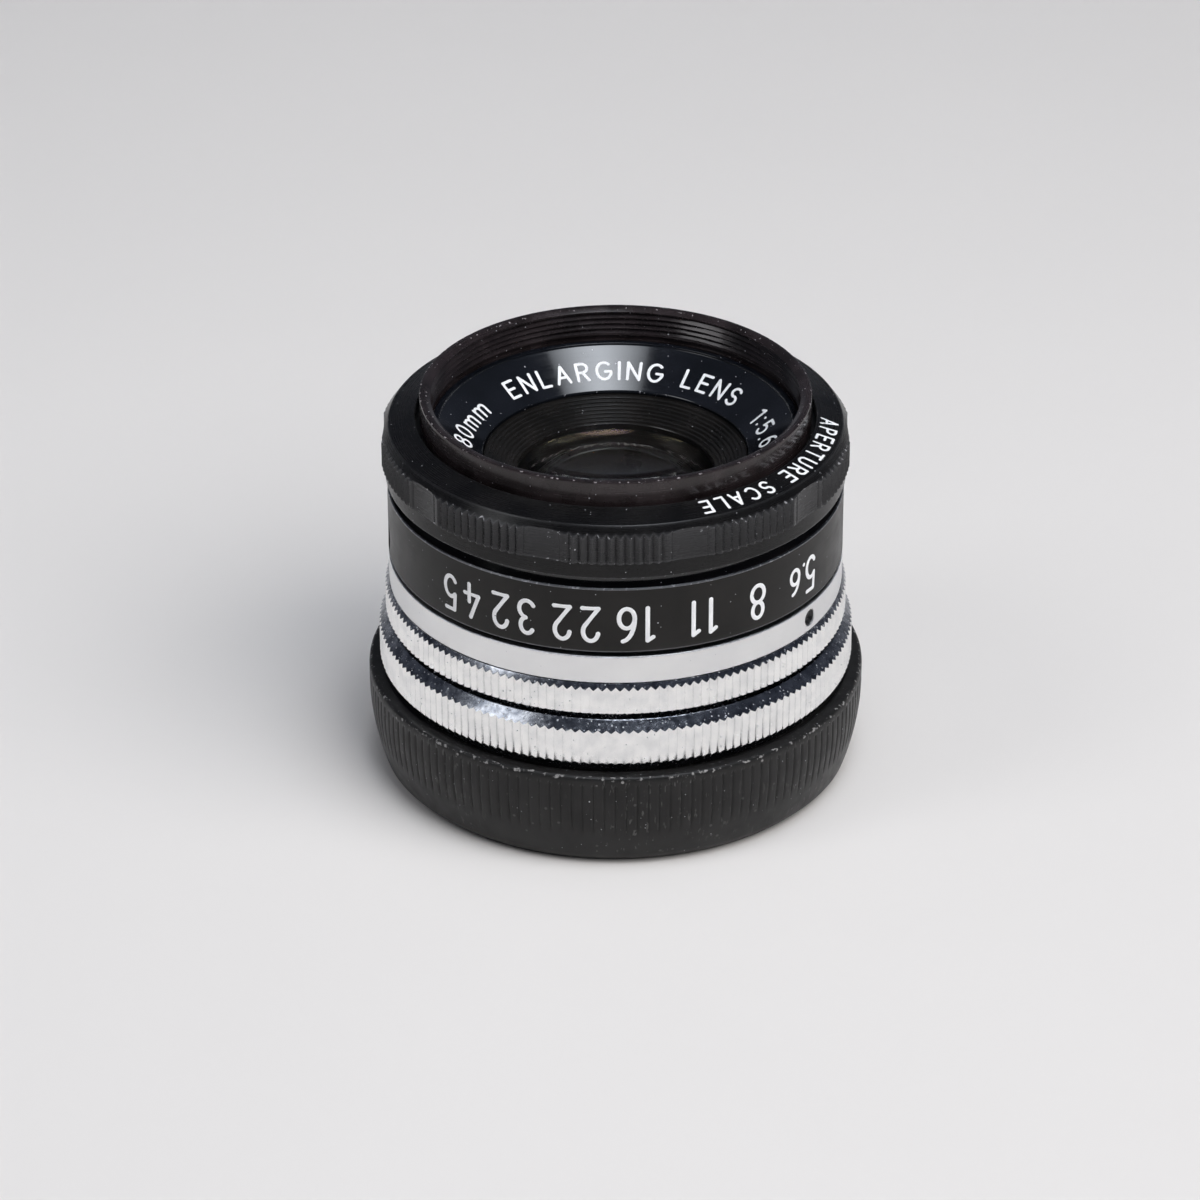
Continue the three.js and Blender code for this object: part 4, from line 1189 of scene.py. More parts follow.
@dataclass
class RearCap:
    """The screw-on cap that the lens stands in."""

    tools: Tools
    ribs: int = 144
    rib_depth: float = 0.11
    rib_low: float = 3.6
    rib_high: float = 9.2
    rib_fade: float = 0.9
    foot: float = 21.9
    recess: float = 22.05
    recess_depth: float = 0.4
    bore: float = 19.65
    sleeve: float = 0.9
    base: float = 1.6
    thread_pitch: float = 1.0
    thread_depth: float = 0.5
    reach: float = 3.0

    def wall(self, height: float, body: Envelope) -> float:
        """Gives the radius of the wall at a height.

        Args:
            height: The height.
            body: Envelope of the cap.

        Returns:
            The radius.
        """
        part = min(1.0, height / (0.8 * body.high))
        return self.foot + (body.radius - self.foot) * math.sin(part * math.pi / 2) ** 0.8

    def bite(self, height: float, body: Envelope) -> float:
        """Gives the share of the knurl's reach that leaves ribs of even depth.

        Args:
            height: The height.
            body: Envelope of the cap.

        Returns:
            The share, which is 0 below the ribs.
        """
        fade = min(1.0, max(0.0, (height - self.rib_low) / self.rib_fade))
        return fade * self.rib_depth / (self.reach + self.wall(height, body) - body.radius)

    def build(self) -> None:
        """Builds the body of the cap and the thread in its bore."""
        body = Envelope.of("rear_cap")
        inner = self.bore + 0.5 * self.sleeve
        corners = [Corner(0.0, 0.0), Corner(18.0, 0.0), Corner(self.foot - 0.9, 0.0, 0.0, 0.0),
                   Corner(self.foot - 0.45, 0.09, 0.0, 0.6), Corner(self.foot - 0.12, 0.4, 0.0, 0.8)]
        start, steps = 0.9, 26
        for step in range(steps + 1):
            height = start + (self.rib_high - start) * step / steps
            corners.append(Corner(self.wall(height, body), height, 0.0, 0.35, self.bite(height, body)))
        corners += [
            Corner(body.radius, self.rib_high + 0.02, 0.0, 0.4),
            Corner(body.radius, self.rib_high + 0.3, 0.0, 0.7),
            Corner(body.radius - 0.03, body.high - 0.22, 0.0, 1.0),
            Corner(body.radius - 0.12, body.high - 0.07, 0.0, 1.0),
            Corner(body.radius - 0.3, body.high, 0.0, 1.0),
            Corner(body.radius - 0.5, body.high, 0.0, 0.2),
            Corner(self.recess + 0.25, body.high, 0.0, 0.1),
            Corner(self.recess + 0.06, body.high - 0.05, 0.0, 0.8),
            Corner(self.recess, body.high - 0.16, 0.0, 0.3),
            Corner(self.recess, body.high - self.recess_depth),
            Corner(inner, body.high - self.recess_depth),
            Corner(inner, self.base),
            Corner(0.0, self.base),
        ]
        cap = revolve("cap_body", corners, self.ribs * 8)
        ribbed = bake(cap, self.tools.knurl, Crest=body.radius * MM, Teeth=float(self.ribs),
                      Depth=self.reach * MM, Flat=0.68, Scoop_Radius=MM, Finish=CAP_BLACK.material())
        show(ribbed, Body.CAP, CAP_BLACK, "rear_cap", crease=50)
        self.thread(body.high - self.recess_depth)

    def thread(self, top: float) -> None:
        """Builds the threaded lining of the bore.

        Args:
            top: Its upper height.
        """
        outer = self.bore + self.sleeve
        corners = [Corner(outer, self.base + 0.05), Corner(outer, top), Corner(self.bore + 0.2, top)]
        rings = 72
        for step in range(rings + 1):
            height = top - 0.2 + (self.base + 0.7 - top) * step / rings
            corners.append(Corner(self.bore, height, 0.0, 0.2, 1.0 if 0 < step < rings else 0.0))
        corners.append(Corner(self.bore, self.base + 0.05))
        lining = bake(revolve("cap_thread", corners, 192), self.tools.thread, Pitch=self.thread_pitch * MM,
                      Depth=self.thread_depth * MM, Side=-1.0, Finish=CAP_BLACK.material())
        show(lining, Body.CAP, CAP_BLACK, crease=50)


@dataclass
class Mount:
    """The mount tube with its knurled flange, the lock ring on it, and the index ring."""

    tools: Tools
    flange_teeth: int = 168
    lock_teeth: int = 170
    tooth_depth: float = 0.2
    tooth_flat: float = 0.08
    tube: float = 19.5
    tube_bore: float = 15.7
    thread_pitch: float = 1.0
    thread_depth: float = 0.5
    flange_low: float = 15.87
    flange_knurl: float = 2.43
    flange_top: float = 21.4
    lock_knurl: float = 3.07
    lock_upper: float = 1.03
    lock_lower: float = 1.47
    lock_bevel: float = 0.95
    lock_bore: float = 19.6
    index_bore: float = 19.25
    dot_angle: float = 57.2
    dot_radius: float = 0.8
    dot_depth: float = 0.5

    def build(self) -> None:
        """Builds the flange, the mount tube, the lock ring and the index ring."""
        self.flange()
        self.tube_thread()
        self.lock_ring()
        self.index_ring()

    def teeth(self, ring: bpy.types.Object, crest: float, count: int) -> bpy.types.Object:
        """Cuts the V teeth of a chromed ring.

        Args:
            ring: The turned ring.
            crest: Radius over the teeth.
            count: Number of teeth.

        Returns:
            The knurled ring.
        """
        return bake(ring, self.tools.knurl, Crest=crest * MM, Teeth=float(count),
                    Depth=self.tooth_depth * MM, Flat=self.tooth_flat, Scoop_Radius=MM,
                    Finish=TOOTH_CHROME.material())

    def two_tone(self, ring: bpy.types.Object, crest: float) -> bpy.types.Object:
        """Gives the bevels and faces of a knurled ring the polished finish.

        Args:
            ring: The knurled ring.
            crest: Radius over the teeth.

        Returns:
            The same ring.
        """
        mesh = ring.data
        mesh.materials.clear()
        mesh.materials.append(TOOTH_CHROME.material())
        mesh.materials.append(BEVEL_CHROME.material())
        for face in mesh.polygons:
            across = math.hypot(face.center.x, face.center.y)
            upright = abs(face.normal.z) < 0.3
            on_tooth = upright and across > (crest - 1.3 * self.tooth_depth) * MM
            face.material_index = 0 if on_tooth else 1
        return ring

    def flange(self) -> None:
        """Builds the knurled flange above the tube."""
        body = Envelope.of("mount_flange")
        low = self.flange_low
        high = low + self.flange_knurl
        slope = (body.high - high) / (body.radius - self.flange_top)
        corners = [
            Corner(self.tube - 1.0, low, 0.0),
            Corner(body.radius - 0.4, low, 0.0, 0.2),
            Corner(body.radius - 0.06, low, 0.0, 0.6, 1.0),
            Corner(body.radius, low + 0.06, 0.0, 0.9, 1.0),
            Corner(body.radius, high, 0.0, 0.6, 1.0, slope),
            Corner(self.flange_top + 0.03, body.high - slope * 0.03, 0.0, 0.2),
            Corner(self.flange_top, body.high - 0.01, 0.0, 0.9),
            Corner(self.flange_top - 0.05, body.high, 0.0, 0.5),
            Corner(self.tube - 1.0, body.high, 0.0),
        ]
        ring = revolve("flange_ring", corners, self.flange_teeth * 6)
        show(self.two_tone(self.teeth(ring, body.radius, self.flange_teeth), body.radius), Body.BARREL,
             TOOTH_CHROME, crease=18, keep=True)

    def tube_thread(self) -> None:
        """Builds the mount tube with its outer thread."""
        body = Envelope.of("mount_flange")
        corners = [Corner(self.tube_bore, body.low), Corner(self.tube - 0.55, body.low, 0.0, 0.4)]
        low = body.low + 0.45
        high = self.flange_low - 1.2
        rings = 110
        for step in range(rings + 1):
            corners.append(Corner(self.tube, low + (high - low) * step / rings, 0.0, 0.3, 1.0))
        corners += [Corner(self.tube - 0.45, high + 0.3), Corner(self.tube - 0.45, self.flange_low + 0.3),
                    Corner(self.tube_bore, self.flange_low + 0.3)]
        tube = revolve("mount_tube", corners, 192)
        cut = bake(tube, self.tools.thread, Pitch=self.thread_pitch * MM, Depth=self.thread_depth * MM,
                   Side=1.0, Finish=THREAD_CHROME.material())
        show(cut, Body.BARREL, THREAD_CHROME, "mount_flange", crease=40)

    def lock_ring(self) -> None:
        """Builds the knurled lock ring."""
        body = Envelope.of("lock_ring")
        low = body.low + self.lock_lower
        high = low + self.lock_knurl
        edge = body.radius - self.lock_bevel
        below = -self.lock_lower / self.lock_bevel
        above = self.lock_upper / self.lock_bevel
        corners = [
            Corner(self.lock_bore, body.low, 0.15, 0.4),
            Corner(edge, body.low, 0.12, 0.7),
            Corner(body.radius, low, 0.0, 0.9, 1.0, below),
            Corner(body.radius, high, 0.0, 0.6, 1.0, above),
            Corner(edge, body.high, 0.12, 0.6),
            Corner(self.lock_bore, body.high, 0.15, 0.4),
        ]
        ring = revolve("lock_ring_body", soften(corners, 3), self.lock_teeth * 6)
        show(self.two_tone(self.teeth(ring, body.radius, self.lock_teeth), body.radius), Body.LOCK,
             TOOTH_CHROME, "lock_ring", crease=18, keep=True)

    def index_ring(self) -> None:
        """Builds the satin ring with its drilled index dot."""
        body = Envelope.of("index_ring")
        corners = [Corner(self.index_bore, body.low), Corner(body.radius, body.low, 0.14, 1.0),
                   Corner(body.radius, body.high, 0.14, 1.0), Corner(self.index_bore, body.high)]
        ring = revolve("index_ring_body", soften(corners), 256)
        middle = (body.low + body.high) / 2
        floor = body.radius - self.dot_depth
        wall = self.dot_radius
        drill = revolve("drill", [
            Corner(0, floor), Corner(wall, floor), Corner(wall, body.radius - 0.08),
            Corner(wall + 0.3, body.radius + 0.3), Corner(0, body.radius + 0.3),
        ], 40)
        cut = carve(ring, [pointed(drill, self.dot_angle, middle)])
        show(cut, Body.BARREL, SATIN_SILVER, "index_ring")
        lip = body.radius - 0.12
        cup = [
            Corner(0, floor - 0.03), Corner(wall - 0.02, floor - 0.03), Corner(wall - 0.02, lip),
            Corner(wall - 0.12, lip), Corner(wall - 0.3, floor + 0.12), Corner(0, floor + 0.06),
        ]
        show(pointed(revolve("index_dot", cup, 40), self.dot_angle, middle), Body.BARREL, PIT_BLACK)


@dataclass
class ApertureRing:
    """The ring that sets the aperture: scale sleeve, grip ring, coupling screw and numerals."""

    tools: Tools
    bore: float = 19.35
    band_top: float = 28.79
    neck: float = 20.6
    screw_angle: float = -85.0
    screw_rise: float = 1.76
    screw_head: float = 1.25
    screw_head_height: float = 0.7
    screw_shank: float = 0.8
    screw_length: float = 3.0
    slot_turn: float = 35.0
    pocket: float = 1.5
    pocket_depth: float = 1.5
    teeth: int = 160
    tooth_depth: float = 0.3
    scallops: int = 10
    scoop: float = 0.38
    scoop_radius: float = 18.0
    skirt: float = 1.6
    knurl: float = 2.6
    edge_radius: float = 21.2
    edge_height: float = 1.04
    mouth: float = 18.7
    lip: float = 1.1
    number_height: float = 3.8
    number_base: float = 4.77
    number_pen: float = 0.21
    small_part: float = 0.76
    small_drop: float = 0.3

    def build(self) -> None:
        """Builds its parts."""
        self.sleeve()
        self.grip()
        self.screw()
        self.numbers()
        self.words()

    def sleeve(self) -> None:
        """Builds the scale sleeve with the pocket of its coupling screw."""
        body = Envelope.of("scale_sleeve")
        # The band's top rounding has edge weight 1.0, so it carries the painted highlight line of the band's
        # finish as well as its wear.
        corners = [Corner(self.bore, body.low), Corner(body.radius, body.low, 0.16, 0.8),
                   Corner(body.radius, self.band_top, 0.16, 1.0), Corner(self.neck, self.band_top),
                   Corner(self.neck, body.high), Corner(self.bore, body.high)]
        band = revolve("scale_band", soften(corners), 256)
        height = body.low + self.screw_rise
        floor = body.radius - self.pocket_depth
        drill = revolve("drill", [
            Corner(0, floor), Corner(self.pocket, floor), Corner(self.pocket, body.radius - 0.1),
            Corner(self.pocket + 0.3, body.radius + 0.2), Corner(0, body.radius + 0.2),
        ], 48)
        cut = carve(band, [pointed(drill, self.screw_angle, height)])
        cut.data.materials.clear()
        cut.data.materials.append(SCALE_BLACK.material())
        cut.data.materials.append(NECK_BLACK.material())
        for face in cut.data.polygons:
            in_neck = face.center.z > (self.band_top - 0.05) * MM and \
                math.hypot(face.center.x, face.center.y) < (body.radius - 0.2) * MM
            face.material_index = 1 if in_neck else 0
        show(cut, Body.APERTURE, SCALE_BLACK, "scale_sleeve", keep=True)

    def grip(self) -> None:
        """Builds the grip ring: skirt, knurled patches between scallops, chamfer and cone."""
        body = Envelope.of("grip_ring")
        low = body.low + self.skirt
        high = low + self.knurl
        edge = high + self.edge_height
        slope = self.edge_height / (body.radius - self.edge_radius)
        skirt = body.radius - self.scoop
        # The edge weights in this outline also place the grip finish's faint painted highlight lines along
        # its edges.
        corners = [
            Corner(self.neck + 0.05, body.low),
            Corner(skirt - 0.12, body.low, 0.0, 0.5),
            Corner(skirt - 0.03, body.low + 0.04, 0.0, 1.0),
            Corner(skirt, body.low + 0.14, 0.0, 0.4),
            Corner(skirt, body.low + 0.25),
            Corner(skirt, low - 0.05),
            Corner(skirt, low - 0.02, 0.0, 0.2),
            Corner(body.radius - 0.06, low, 0.0, 0.9, 1.0),
            Corner(body.radius, low + 0.08, 0.0, 0.9, 1.0),
            Corner(body.radius, low + 0.25, 0.0, 0.6, 1.0),
            Corner(body.radius, (low + high) / 2, 0.0, 0.7, 1.0),
            Corner(body.radius, high - 0.2, 0.0, 0.8, 1.0, 0.5 * slope),
            Corner(body.radius, high, 0.0, 1.0, 1.0, slope),
            Corner(body.radius - 0.36, high + slope * 0.36, 0.0, 0.0),
            Corner(self.edge_radius + 0.2, edge - slope * 0.2),
            Corner(self.edge_radius + 0.1, edge - slope * 0.1, 0.0, 0.3),
            Corner(self.edge_radius + 0.02, edge - slope * 0.02, 0.0, 0.5),
            Corner(self.edge_radius - 0.05, edge + 0.02, 0.0, 0.3),
            Corner(self.edge_radius - 0.2, edge + 0.05),
            Corner(self.mouth + 0.14, body.high - 0.03),
            Corner(self.mouth + 0.08, body.high - 0.01, 0.0, 0.5),
            Corner(self.mouth, body.high - 0.08, 0.0, 0.8),
            Corner(self.mouth, body.high - 0.2),
            Corner(self.mouth, body.high - self.lip),
            Corner(self.bore, body.high - self.lip),
            Corner(self.bore, Envelope.of("scale_sleeve").high + 0.05),
            Corner(self.neck + 0.05, Envelope.of("scale_sleeve").high + 0.05),
        ]
        ring = revolve("grip_ring_body", corners, self.teeth * 8)
        cut = bake(ring, self.tools.knurl, Crest=body.radius * MM, Teeth=float(self.teeth),
                   Depth=self.tooth_depth * MM, Flat=0.02, Scallops=float(self.scallops),
                   Scoop_Radius=self.scoop_radius * MM, Scoop=self.scoop * MM, Finish=GRIP_BLACK.material())
        show(cut, Body.APERTURE, GRIP_BLACK, "grip_ring", crease=22)

    def screw(self) -> None:
        """Builds the slotted coupling screw in its pocket."""
        body = Envelope.of("scale_sleeve")
        low = body.radius - self.pocket_depth + 0.05
        high = low + self.screw_head_height
        tip = low - self.screw_length
        shank = self.screw_shank
        edge = self.screw_head
        head = revolve("coupling_screw_head", soften([
            Corner(0, tip), Corner(shank, tip), Corner(shank, low), Corner(edge, low, 0.08, 0.4),
            Corner(edge, high, 0.14, 1.0), Corner(0, high),
        ], 4), 64)
        half, depth, reach = 0.16 * MM, 0.3 * MM, 1.6 * MM
        ends = (high * MM - depth, high * MM + depth)
        box = [(x, y, z) for x in (-half, half) for y in (-reach, reach) for z in ends]
        sides = [(0, 1, 3, 2), (4, 6, 7, 5), (0, 4, 5, 1), (2, 3, 7, 6), (0, 2, 6, 4), (1, 5, 7, 3)]
        blade = bpy.data.meshes.new("slot_tool")
        blade.from_pydata(box, [], sides)
        tool = bpy.data.objects.new("slot_tool", blade)
        bpy.context.scene.collection.objects.link(tool)
        tool.data.transform(Matrix.Rotation(math.radians(self.slot_turn), 4, "Z"))
        cut = carve(head, [tool])
        show(pointed(cut, self.screw_angle, body.low + self.screw_rise), Body.APERTURE, SCREW_STEEL,
             "coupling_screw")

    def numbers(self) -> None:
        """Writes the f-numbers, upside down as the lens stands."""
        body = Envelope.of("scale_sleeve")
        top = body.low + self.number_base
        pen = self.number_pen
        places = {"5": 57.1, "8": 37.4, "11": 22.3, "16": 5.0, "22": -9.6, "32": -25.8, "45": -41.3}
        lines = [Lettering("number_" + text, text, angle, body.radius, top, self.number_height, pen, -90.0,
                           gap=0.2, width=0.76) for text, angle in places.items()]
        small = self.small_part * self.number_height
        for name, text, angle in (("number_5_point", ".", 54.0), ("number_5_part", "6", 50.4)):
            lines.append(Lettering(name, text, angle, body.radius, top - self.small_drop, small, 0.9 * pen,
                                   -90.0, width=0.85))
        for line in lines:
            show(line.build(self.tools.lettering, WHITE_PAINT), Body.APERTURE, WHITE_PAINT, crease=60)

    def words(self) -> None:
        """Writes a plain description on the cone."""
        body = Envelope.of("grip_ring")
        edge = body.low + self.skirt + self.knurl + self.edge_height
        lean = 180 - math.degrees(math.atan2(body.high - edge, self.edge_radius - self.mouth))
        radius = self.edge_radius - 2.15
        height = edge + (self.edge_radius - radius) * (body.high - edge) / (self.edge_radius - self.mouth)
        line = Lettering("cone_words", "APERTURE SCALE", 55.0, radius, height,
                         1.8, 0.135, -(180 - lean), gap=0.26)
        show(line.build(self.tools.lettering, WHITE_PAINT), Body.APERTURE, WHITE_PAINT, crease=60)


@dataclass
class FrontRim:
    """The filter rim, the name ring with its writing, and the ridged baffle."""

    tools: Tools
    bore: float = 17.2
    lip: float = 16.2
    skirt: float = 17.7
    lip_height: float = 0.45
    thread_pitch: float = 0.55
    thread_depth: float = 0.24
    cone_outer: float = 16.55
    cone_inner: float = 12.4
    cone_drop: float = 2.85
    inner_edge: float = 0.6
    ridges: int = 8
    ridge_depth: float = 0.14
    baffle_mouth: float = 9.4
    baffle_lip: float = 0.6

    def build(self) -> None:
        """Builds the rim, the name ring and the baffle."""
        self.rim()
        self.name_ring()
        self.baffle()

    def rim(self) -> None:
        """Builds the threaded filter rim."""
        body = Envelope.of("filter_rim")
        foot = body.high - 3.6
        corners = [
            Corner(self.lip, body.low), Corner(self.skirt, body.low), Corner(self.skirt, foot),
            Corner(body.radius - 0.05, foot, 0.0, 0.3), Corner(body.radius, foot + 0.05, 0.0, 0.3),
            Corner(body.radius, foot + 0.2),
            Corner(body.radius, body.high - 0.24), Corner(body.radius, body.high - 0.16, 0.0, 0.6),
            Corner(body.radius - 0.04, body.high - 0.05, 0.0, 1.0),
            Corner(body.radius - 0.14, body.high, 0.0, 1.0),
            Corner(body.radius - 0.25, body.high, 0.0, 0.5),
            Corner(self.bore + 0.55, body.high, 0.0, 0.5),
            Corner(self.bore + 0.42, body.high - 0.03, 0.0, 1.0),
            Corner(self.bore + 0.05, body.high - 0.3, 0.0, 0.7),
        ]
        top = body.high - 0.32
        bottom = body.high - 2.7
        rings = 44
        for step in range(rings + 1):
            height = top + (bottom - top) * step / rings
            corners.append(Corner(self.bore, height, 0.0, 0.5, 1.0 if 1 < step < rings else 0.0))
        corners += [
            Corner(self.bore, bottom - 0.1), Corner(self.bore + 0.2, bottom - 0.12),
            Corner(self.bore + 0.2, bottom - 0.5), Corner(self.bore, bottom - 0.52, 0.0, 0.6),
            Corner(self.bore, body.low + self.lip_height), Corner(self.lip, body.low + self.lip_height),
        ]
        ring = revolve("filter_rim_body", corners, 256)
        cut = bake(ring, self.tools.thread, Pitch=self.thread_pitch * MM, Depth=self.thread_depth * MM,
                   Side=-1.0, Finish=RIM_BLACK.material())
        show(cut, Body.BARREL, RIM_BLACK, "filter_rim", crease=35)

    def name_ring(self) -> None:
        """Builds the coned name ring and writes on it."""
        body = Envelope.of("name_ring")
        low = body.low + self.inner_edge
        high = low + self.cone_drop
        corners = [
            Corner(self.cone_inner, body.low), Corner(body.radius, body.low),
            Corner(body.radius, body.high, 0.1, 0.8), Corner(self.cone_outer, body.high, 0.12, 0.5),
            Corner(self.cone_outer, high, 0.06, 0.0), Corner(self.cone_inner, low, 0.12, 1.0),
        ]
        show(revolve("name_ring_body", soften(corners), 256), Body.BARREL, NAME_BLACK, "name_ring")
        lean = math.degrees(math.atan2(self.cone_drop, self.cone_outer - self.cone_inner))
        radius = self.cone_inner + 0.95
        height = low + (radius - self.cone_inner) * math.tan(math.radians(lean))
        line = Lettering("lens_words", "80mm  ENLARGING LENS  1:5.6", 180.0, radius, height, 2.1, 0.14, lean,
                         gap=0.24)
        show(line.build(self.tools.lettering, WHITE_PAINT), Body.BARREL, WHITE_PAINT, crease=60)

    def baffle(self) -> None:
        """Builds the ridged light baffle in front of the glass."""
        body = Envelope.of("front_baffle")
        low = body.low + self.baffle_lip
        corners = [
            Corner(self.baffle_mouth, body.low), Corner(body.radius, body.low),
            Corner(body.radius, body.high - 0.04, 0.0, 0.5), Corner(body.radius - 0.06, body.high, 0.0, 0.8),
        ]
        run = body.radius - self.baffle_mouth
        for index in range(self.ridges):
            start = 1 - index / self.ridges
            end = 1 - (index + 1) / self.ridges
            for part, sink, wear in ((start, 0.0, 0.9), (start - 0.012, 0.0, 0.7),
                                     (start - 0.03, 1.0, 0.0), (end + 0.02, 0.15, 0.2)):
                radius = self.baffle_mouth + run * part
                height = low + (body.high - 0.06 - low) * part
                corners.append(Corner(radius, height - sink * self.ridge_depth, 0.0, wear))
        corners += [
            Corner(self.baffle_mouth + 0.04, low, 0.0, 1.0),
            Corner(self.baffle_mouth, low - 0.06, 0.0, 1.0),
        ]
        show(revolve("front_baffle_body", corners, 256), Body.BARREL, BAFFLE_BLACK, "front_baffle", crease=25)


@dataclass
class Glass:
    """One lens element, by its two faces."""

    node: str
    top_curve: float
    top_lift: int
    bottom_curve: float
    bottom_lift: int
    finish: CoatedGlass = GLASS
    steps: int = 20

    def build(self) -> None:
        """Builds the element."""
        body = Envelope.of(self.node)

        def sag(curve: float, radius: float) -> float:
            """Height that a face drops by at a radius."""
            return curve - math.sqrt(curve * curve - radius * radius)

        top_sag = sag(self.top_curve, body.radius)
        bottom_sag = sag(self.bottom_curve, body.radius)
        top = body.high - top_sag if self.top_lift > 0 else body.high
        bottom = body.low if self.bottom_lift > 0 else body.low + bottom_sag
        radii = [body.radius * step / self.steps for step in range(self.steps + 1)]
        lower = [Corner(r, bottom + self.bottom_lift * (bottom_sag - sag(self.bottom_curve, r)))
                 for r in radii]
        upper = [Corner(r, top + self.top_lift * (top_sag - sag(self.top_curve, r)))
                 for r in reversed(radii)]
        show(revolve(self.node + "_body", lower + upper, 160), Body.BARREL, self.finish, self.node)


@dataclass
class Optics:
    """The two cells with their glass and rings."""

    cell_lip: float = 7.1
    tube: float = 10.4
    flange: float = 1.8
    collar: float = 12.3
    retainer_bore: float = 14.5
    shoulder: float = 1.3
    neck: float = 10.47

    def build(self) -> None:
        """Builds the cells, the elements and the rings that hold them."""
        self.front_cell()
        self.rear_cell()
        for part in (
            Glass("front_crown_element", 28, 1, 70, -1),
            Glass("front_flint_element", 70, -1, 45, 1, INNER_GLASS),
            Glass("front_inner_element", 22, 1, 30, 1, INNER_GLASS),
            Glass("rear_inner_element", 30, -1, 22, -1, INNER_GLASS),
            Glass("rear_flint_element", 58, -1, 70, 1, INNER_GLASS),
            Glass("rear_crown_element", 70, 1, 60, -1),
        ):
            part.build()
        rings = {"front_inner_retainer": (0.7, RING_BRONZE), "rear_inner_retainer": (0.7, RING_BRONZE),
                 "rear_spacer": (1.6, MATT_BLACK), "rear_retaining_ring": (0.8, MATT_BLACK)}
        for node, (wall, finish) in rings.items():
            body = Envelope.of(node)
            ring = plain_ring(node + "_body", body.radius - wall, body.radius, body.low, body.high)
            show(ring, Body.BARREL, finish, node)

    def front_cell(self) -> None:
        """Builds the front cell and the ring that holds it."""
        body = Envelope.of("front_cell")
        crown = Envelope.of("front_crown_element")
        inner = Envelope.of("front_inner_element")
        seat = Envelope.of("front_flint_element").low - 0.05
        flange_low = seat + 0.6
        flange_high = flange_low + self.flange
        corners = [
            Corner(self.cell_lip, body.low, 0.08, 1.0), Corner(self.tube, body.low, 0.1, 1.0),
            Corner(self.tube, flange_low), Corner(body.radius, flange_low),
            Corner(body.radius, flange_high, 0.08, 1.0), Corner(self.collar, flange_high),
            Corner(self.collar, body.high, 0.1, 1.0), Corner(crown.radius + 0.05, body.high),
            Corner(crown.radius + 0.05, seat), Corner(inner.radius + 0.05, seat, 0.1, 1.0),
            Corner(inner.radius + 0.05, body.low + 0.3), Corner(self.cell_lip, body.low + 0.3, 0.06, 1.0),
        ]
        show(revolve("front_cell_body", soften(corners, 3), 192), Body.BARREL, MATT_BLACK, "front_cell")
        ring = Envelope.of("front_cell_retainer")
        clamp = plain_ring("front_retainer_body", self.retainer_bore, ring.radius, ring.low, ring.high)
        show(clamp, Body.BARREL, MATT_BLACK, "front_cell_retainer")

    def rear_cell(self) -> None:
        """Builds the rear cell."""
        body = Envelope.of("rear_cell")
        crown = Envelope.of("rear_crown_element")
        inner = Envelope.of("rear_inner_element")
        shelf = Envelope.of("rear_spacer").high + 0.05
        shoulder = shelf + self.shoulder
        corners = [
            Corner(crown.radius + 0.05, body.low, 0.1, 1.0), Corner(body.radius, body.low, 0.2, 1.0),
            Corner(body.radius, shoulder), Corner(self.neck, shoulder), Corner(self.neck, body.high),
            Corner(self.cell_lip, body.high, 0.05, 1.0), Corner(self.cell_lip, body.high - 0.3),
            Corner(inner.radius + 0.05, body.high - 0.3), Corner(inner.radius + 0.05, shelf, 0.08, 1.0),
            Corner(crown.radius + 0.05, shelf),
        ]
        show(revolve("rear_cell_body", soften(corners, 3), 192), Body.BARREL, MATT_BLACK, "rear_cell")


@dataclass
class Iris:
    """The iris: base plate and blades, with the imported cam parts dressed."""

    stop: float = 6.9
    blades: int = 8

    def build(self) -> None:
        """Builds the base plate and dresses the rest."""
        body = Envelope.of("iris_base_plate")
        plate = plain_ring("iris_plate_body", self.stop, body.radius, body.low, body.high, 0.06)
        show(plate, Body.BARREL, MATT_BLACK, "iris_base_plate")
        for index in range(self.blades):
            dress(f"iris_blade_{index + 1}", BLADE_STEEL)
        dress("iris_cam_ring", MATT_BLACK)
        dress("cam_clip", SCREW_STEEL)
        dress("detent_ball", SCREW_STEEL)
        dress("detent_spring", SCREW_STEEL)
        dress("main_barrel", MATT_BLACK)


# ---- Studio -------------------------------------------------------------------------------


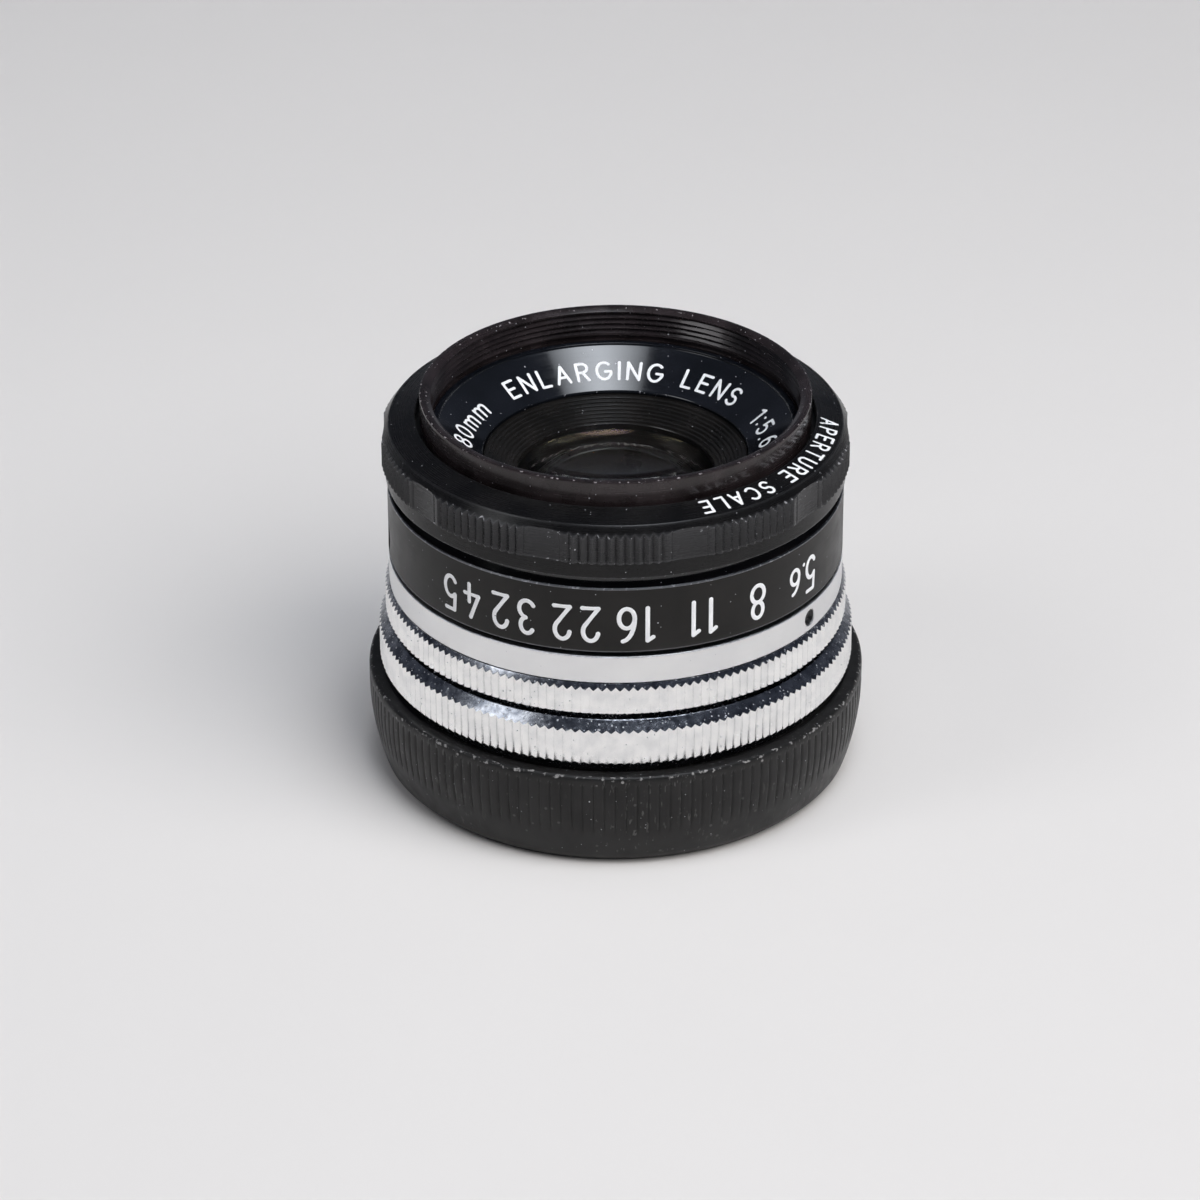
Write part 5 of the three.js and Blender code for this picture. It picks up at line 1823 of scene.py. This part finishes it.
@dataclass
class Studio:
    """Floor, soft lights, surroundings and camera."""

    distance: float = 0.5
    elevation: float = 29.28
    aim: float = 0.01565
    focal: float = 157.96
    shift: float = -0.013
    floor_colour: Colour = (0.80, 0.765, 0.735)

    def build(self) -> None:
        """Sets the studio up."""
        self.floor()
        self.lights()
        self.surroundings()
        self.camera()

    def floor(self) -> None:
        """Lays a wide pale floor."""
        mesh = bpy.data.meshes.new("floor")
        reach = 6.0
        mesh.from_pydata([(-reach, -reach, 0), (reach, -reach, 0), (reach, reach, 0), (-reach, reach, 0)], [],
                         [(0, 1, 2, 3)])
        surface = Surface("pale_floor")
        tone = surface.ramp(surface.noise(0.02, 3.0), 0.3, 0.7)
        surface.feed(surface.shader.inputs["Base Color"],
                     surface.mix(tone, self.floor_colour, tuple(0.985 * part for part in self.floor_colour)))
        surface.shader.inputs["Roughness"].default_value = 0.75
        mesh.materials.append(surface.material)
        floor = bpy.data.objects.new("floor", mesh)
        bpy.context.scene.collection.objects.link(floor)

    def panel(self, name: str, azimuth: float, elevation: float, distance: float, width: float, height: float,
              power: float, colour: Colour = (1.0, 1.0, 1.0), spread: float = 180.0) -> bpy.types.Object:
        """Hangs a soft panel that points at the lens.

        Args:
            name: Name of the light.
            azimuth: Its angle round the object.
            elevation: Its angle above the floor.
            distance: Its distance from the object.
            width: Its width.
            height: Its height.
            power: Its power in watts.
            colour: Its colour.
            spread: Angle that it shines into. A narrow one dims the panel towards its edge.

        Returns:
            The light.
        """
        data = bpy.data.lights.new(name, "AREA")
        data.shape = "ELLIPSE"
        data.size = width
        data.size_y = height
        data.energy = power
        data.color = colour
        data.spread = math.radians(spread)
        rise = math.radians(elevation)
        turn = math.radians(azimuth)
        flat = distance * math.cos(rise)
        place = Vector((flat * math.sin(turn), -flat * math.cos(turn), distance * math.sin(rise)))
        light = bpy.data.objects.new(name, data)
        light.location = place
        light.rotation_euler = (-place).to_track_quat("-Z", "Y").to_euler()
        bpy.context.scene.collection.objects.link(light)
        return light

    def lights(self) -> None:
        """Hangs the panels. The main one is left out of the reflections."""
        main = self.panel("right_panel", 48, 47, 1.0, 1.0, 0.7, 7.0)
        main.visible_glossy = False
        self.panel("left_panel", -66, 46, 1.0, 0.34, 0.5, 1.3, (0.96, 0.98, 1.0))
        self.panel("top_panel", 36, 79, 1.1, 0.7, 0.7, 0.6, (0.88, 0.93, 1.0), 42)

    def surroundings(self) -> None:
        """Sets a world that is pale near the horizon and dim overhead."""
        world = bpy.data.worlds.new("studio")
        world.use_nodes = True
        bpy.context.scene.world = world
        recipe = Recipe(world.node_tree, "ShaderNode")
        up = recipe.parts(recipe.add("TexCoord").outputs["Generated"])[2]
        ramp = recipe.add("ValToRGB")
        recipe.feed(ramp.inputs[0], up)
        ramp.color_ramp.elements[0].position = 0.0
        ramp.color_ramp.elements[0].color = (0.30, 0.31, 0.34, 1)
        ramp.color_ramp.elements[1].position = 0.3
        ramp.color_ramp.elements[1].color = (0.07, 0.078, 0.1, 1)
        background = world.node_tree.nodes["Background"]
        recipe.feed(background.inputs["Color"], ramp.outputs[0])
        background.inputs["Strength"].default_value = 1.0

    def camera(self) -> None:
        """Sets the camera up."""
        data = bpy.data.cameras.new("camera")
        data.lens = self.focal
        data.sensor_width = 36.0
        data.shift_x = self.shift
        data.clip_start = 0.01
        data.clip_end = 50.0
        tilt = math.radians(self.elevation)
        aim = Vector((0, 0, self.aim))
        place = aim + Vector((0, -math.cos(tilt), math.sin(tilt))) * self.distance
        camera = bpy.data.objects.new("camera", data)
        camera.location = place
        camera.rotation_euler = (aim - place).to_track_quat("-Z", "Y").to_euler()
        bpy.context.scene.collection.objects.link(camera)
        bpy.context.scene.camera = camera
        bpy.context.scene.view_settings.view_transform = "Standard"


def build_all(steps: Sequence[tuple[str, Callable[[], None]]]) -> None:
    """Runs the building steps in order and reports each one.

    Args:
        steps: Names and functions.
    """
    for name, step in steps:
        LOG.info("building the %s", name)
        step()


def main() -> None:
    """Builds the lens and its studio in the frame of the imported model."""
    logging.basicConfig(level=logging.INFO, format="%(message)s")
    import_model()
    tools = Tools(knurl_tree(), thread_tree(), lettering_tree())
    build_all([
        ("studio", Studio().build),
        ("rear cap", RearCap(tools).build),
        ("mount", Mount(tools).build),
        ("aperture ring", ApertureRing(tools).build),
        ("front rim", FrontRim(tools).build),
        ("optics", Optics().build),
        ("iris", Iris().build),
    ])
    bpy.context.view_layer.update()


if __name__ == "__main__":
    main()
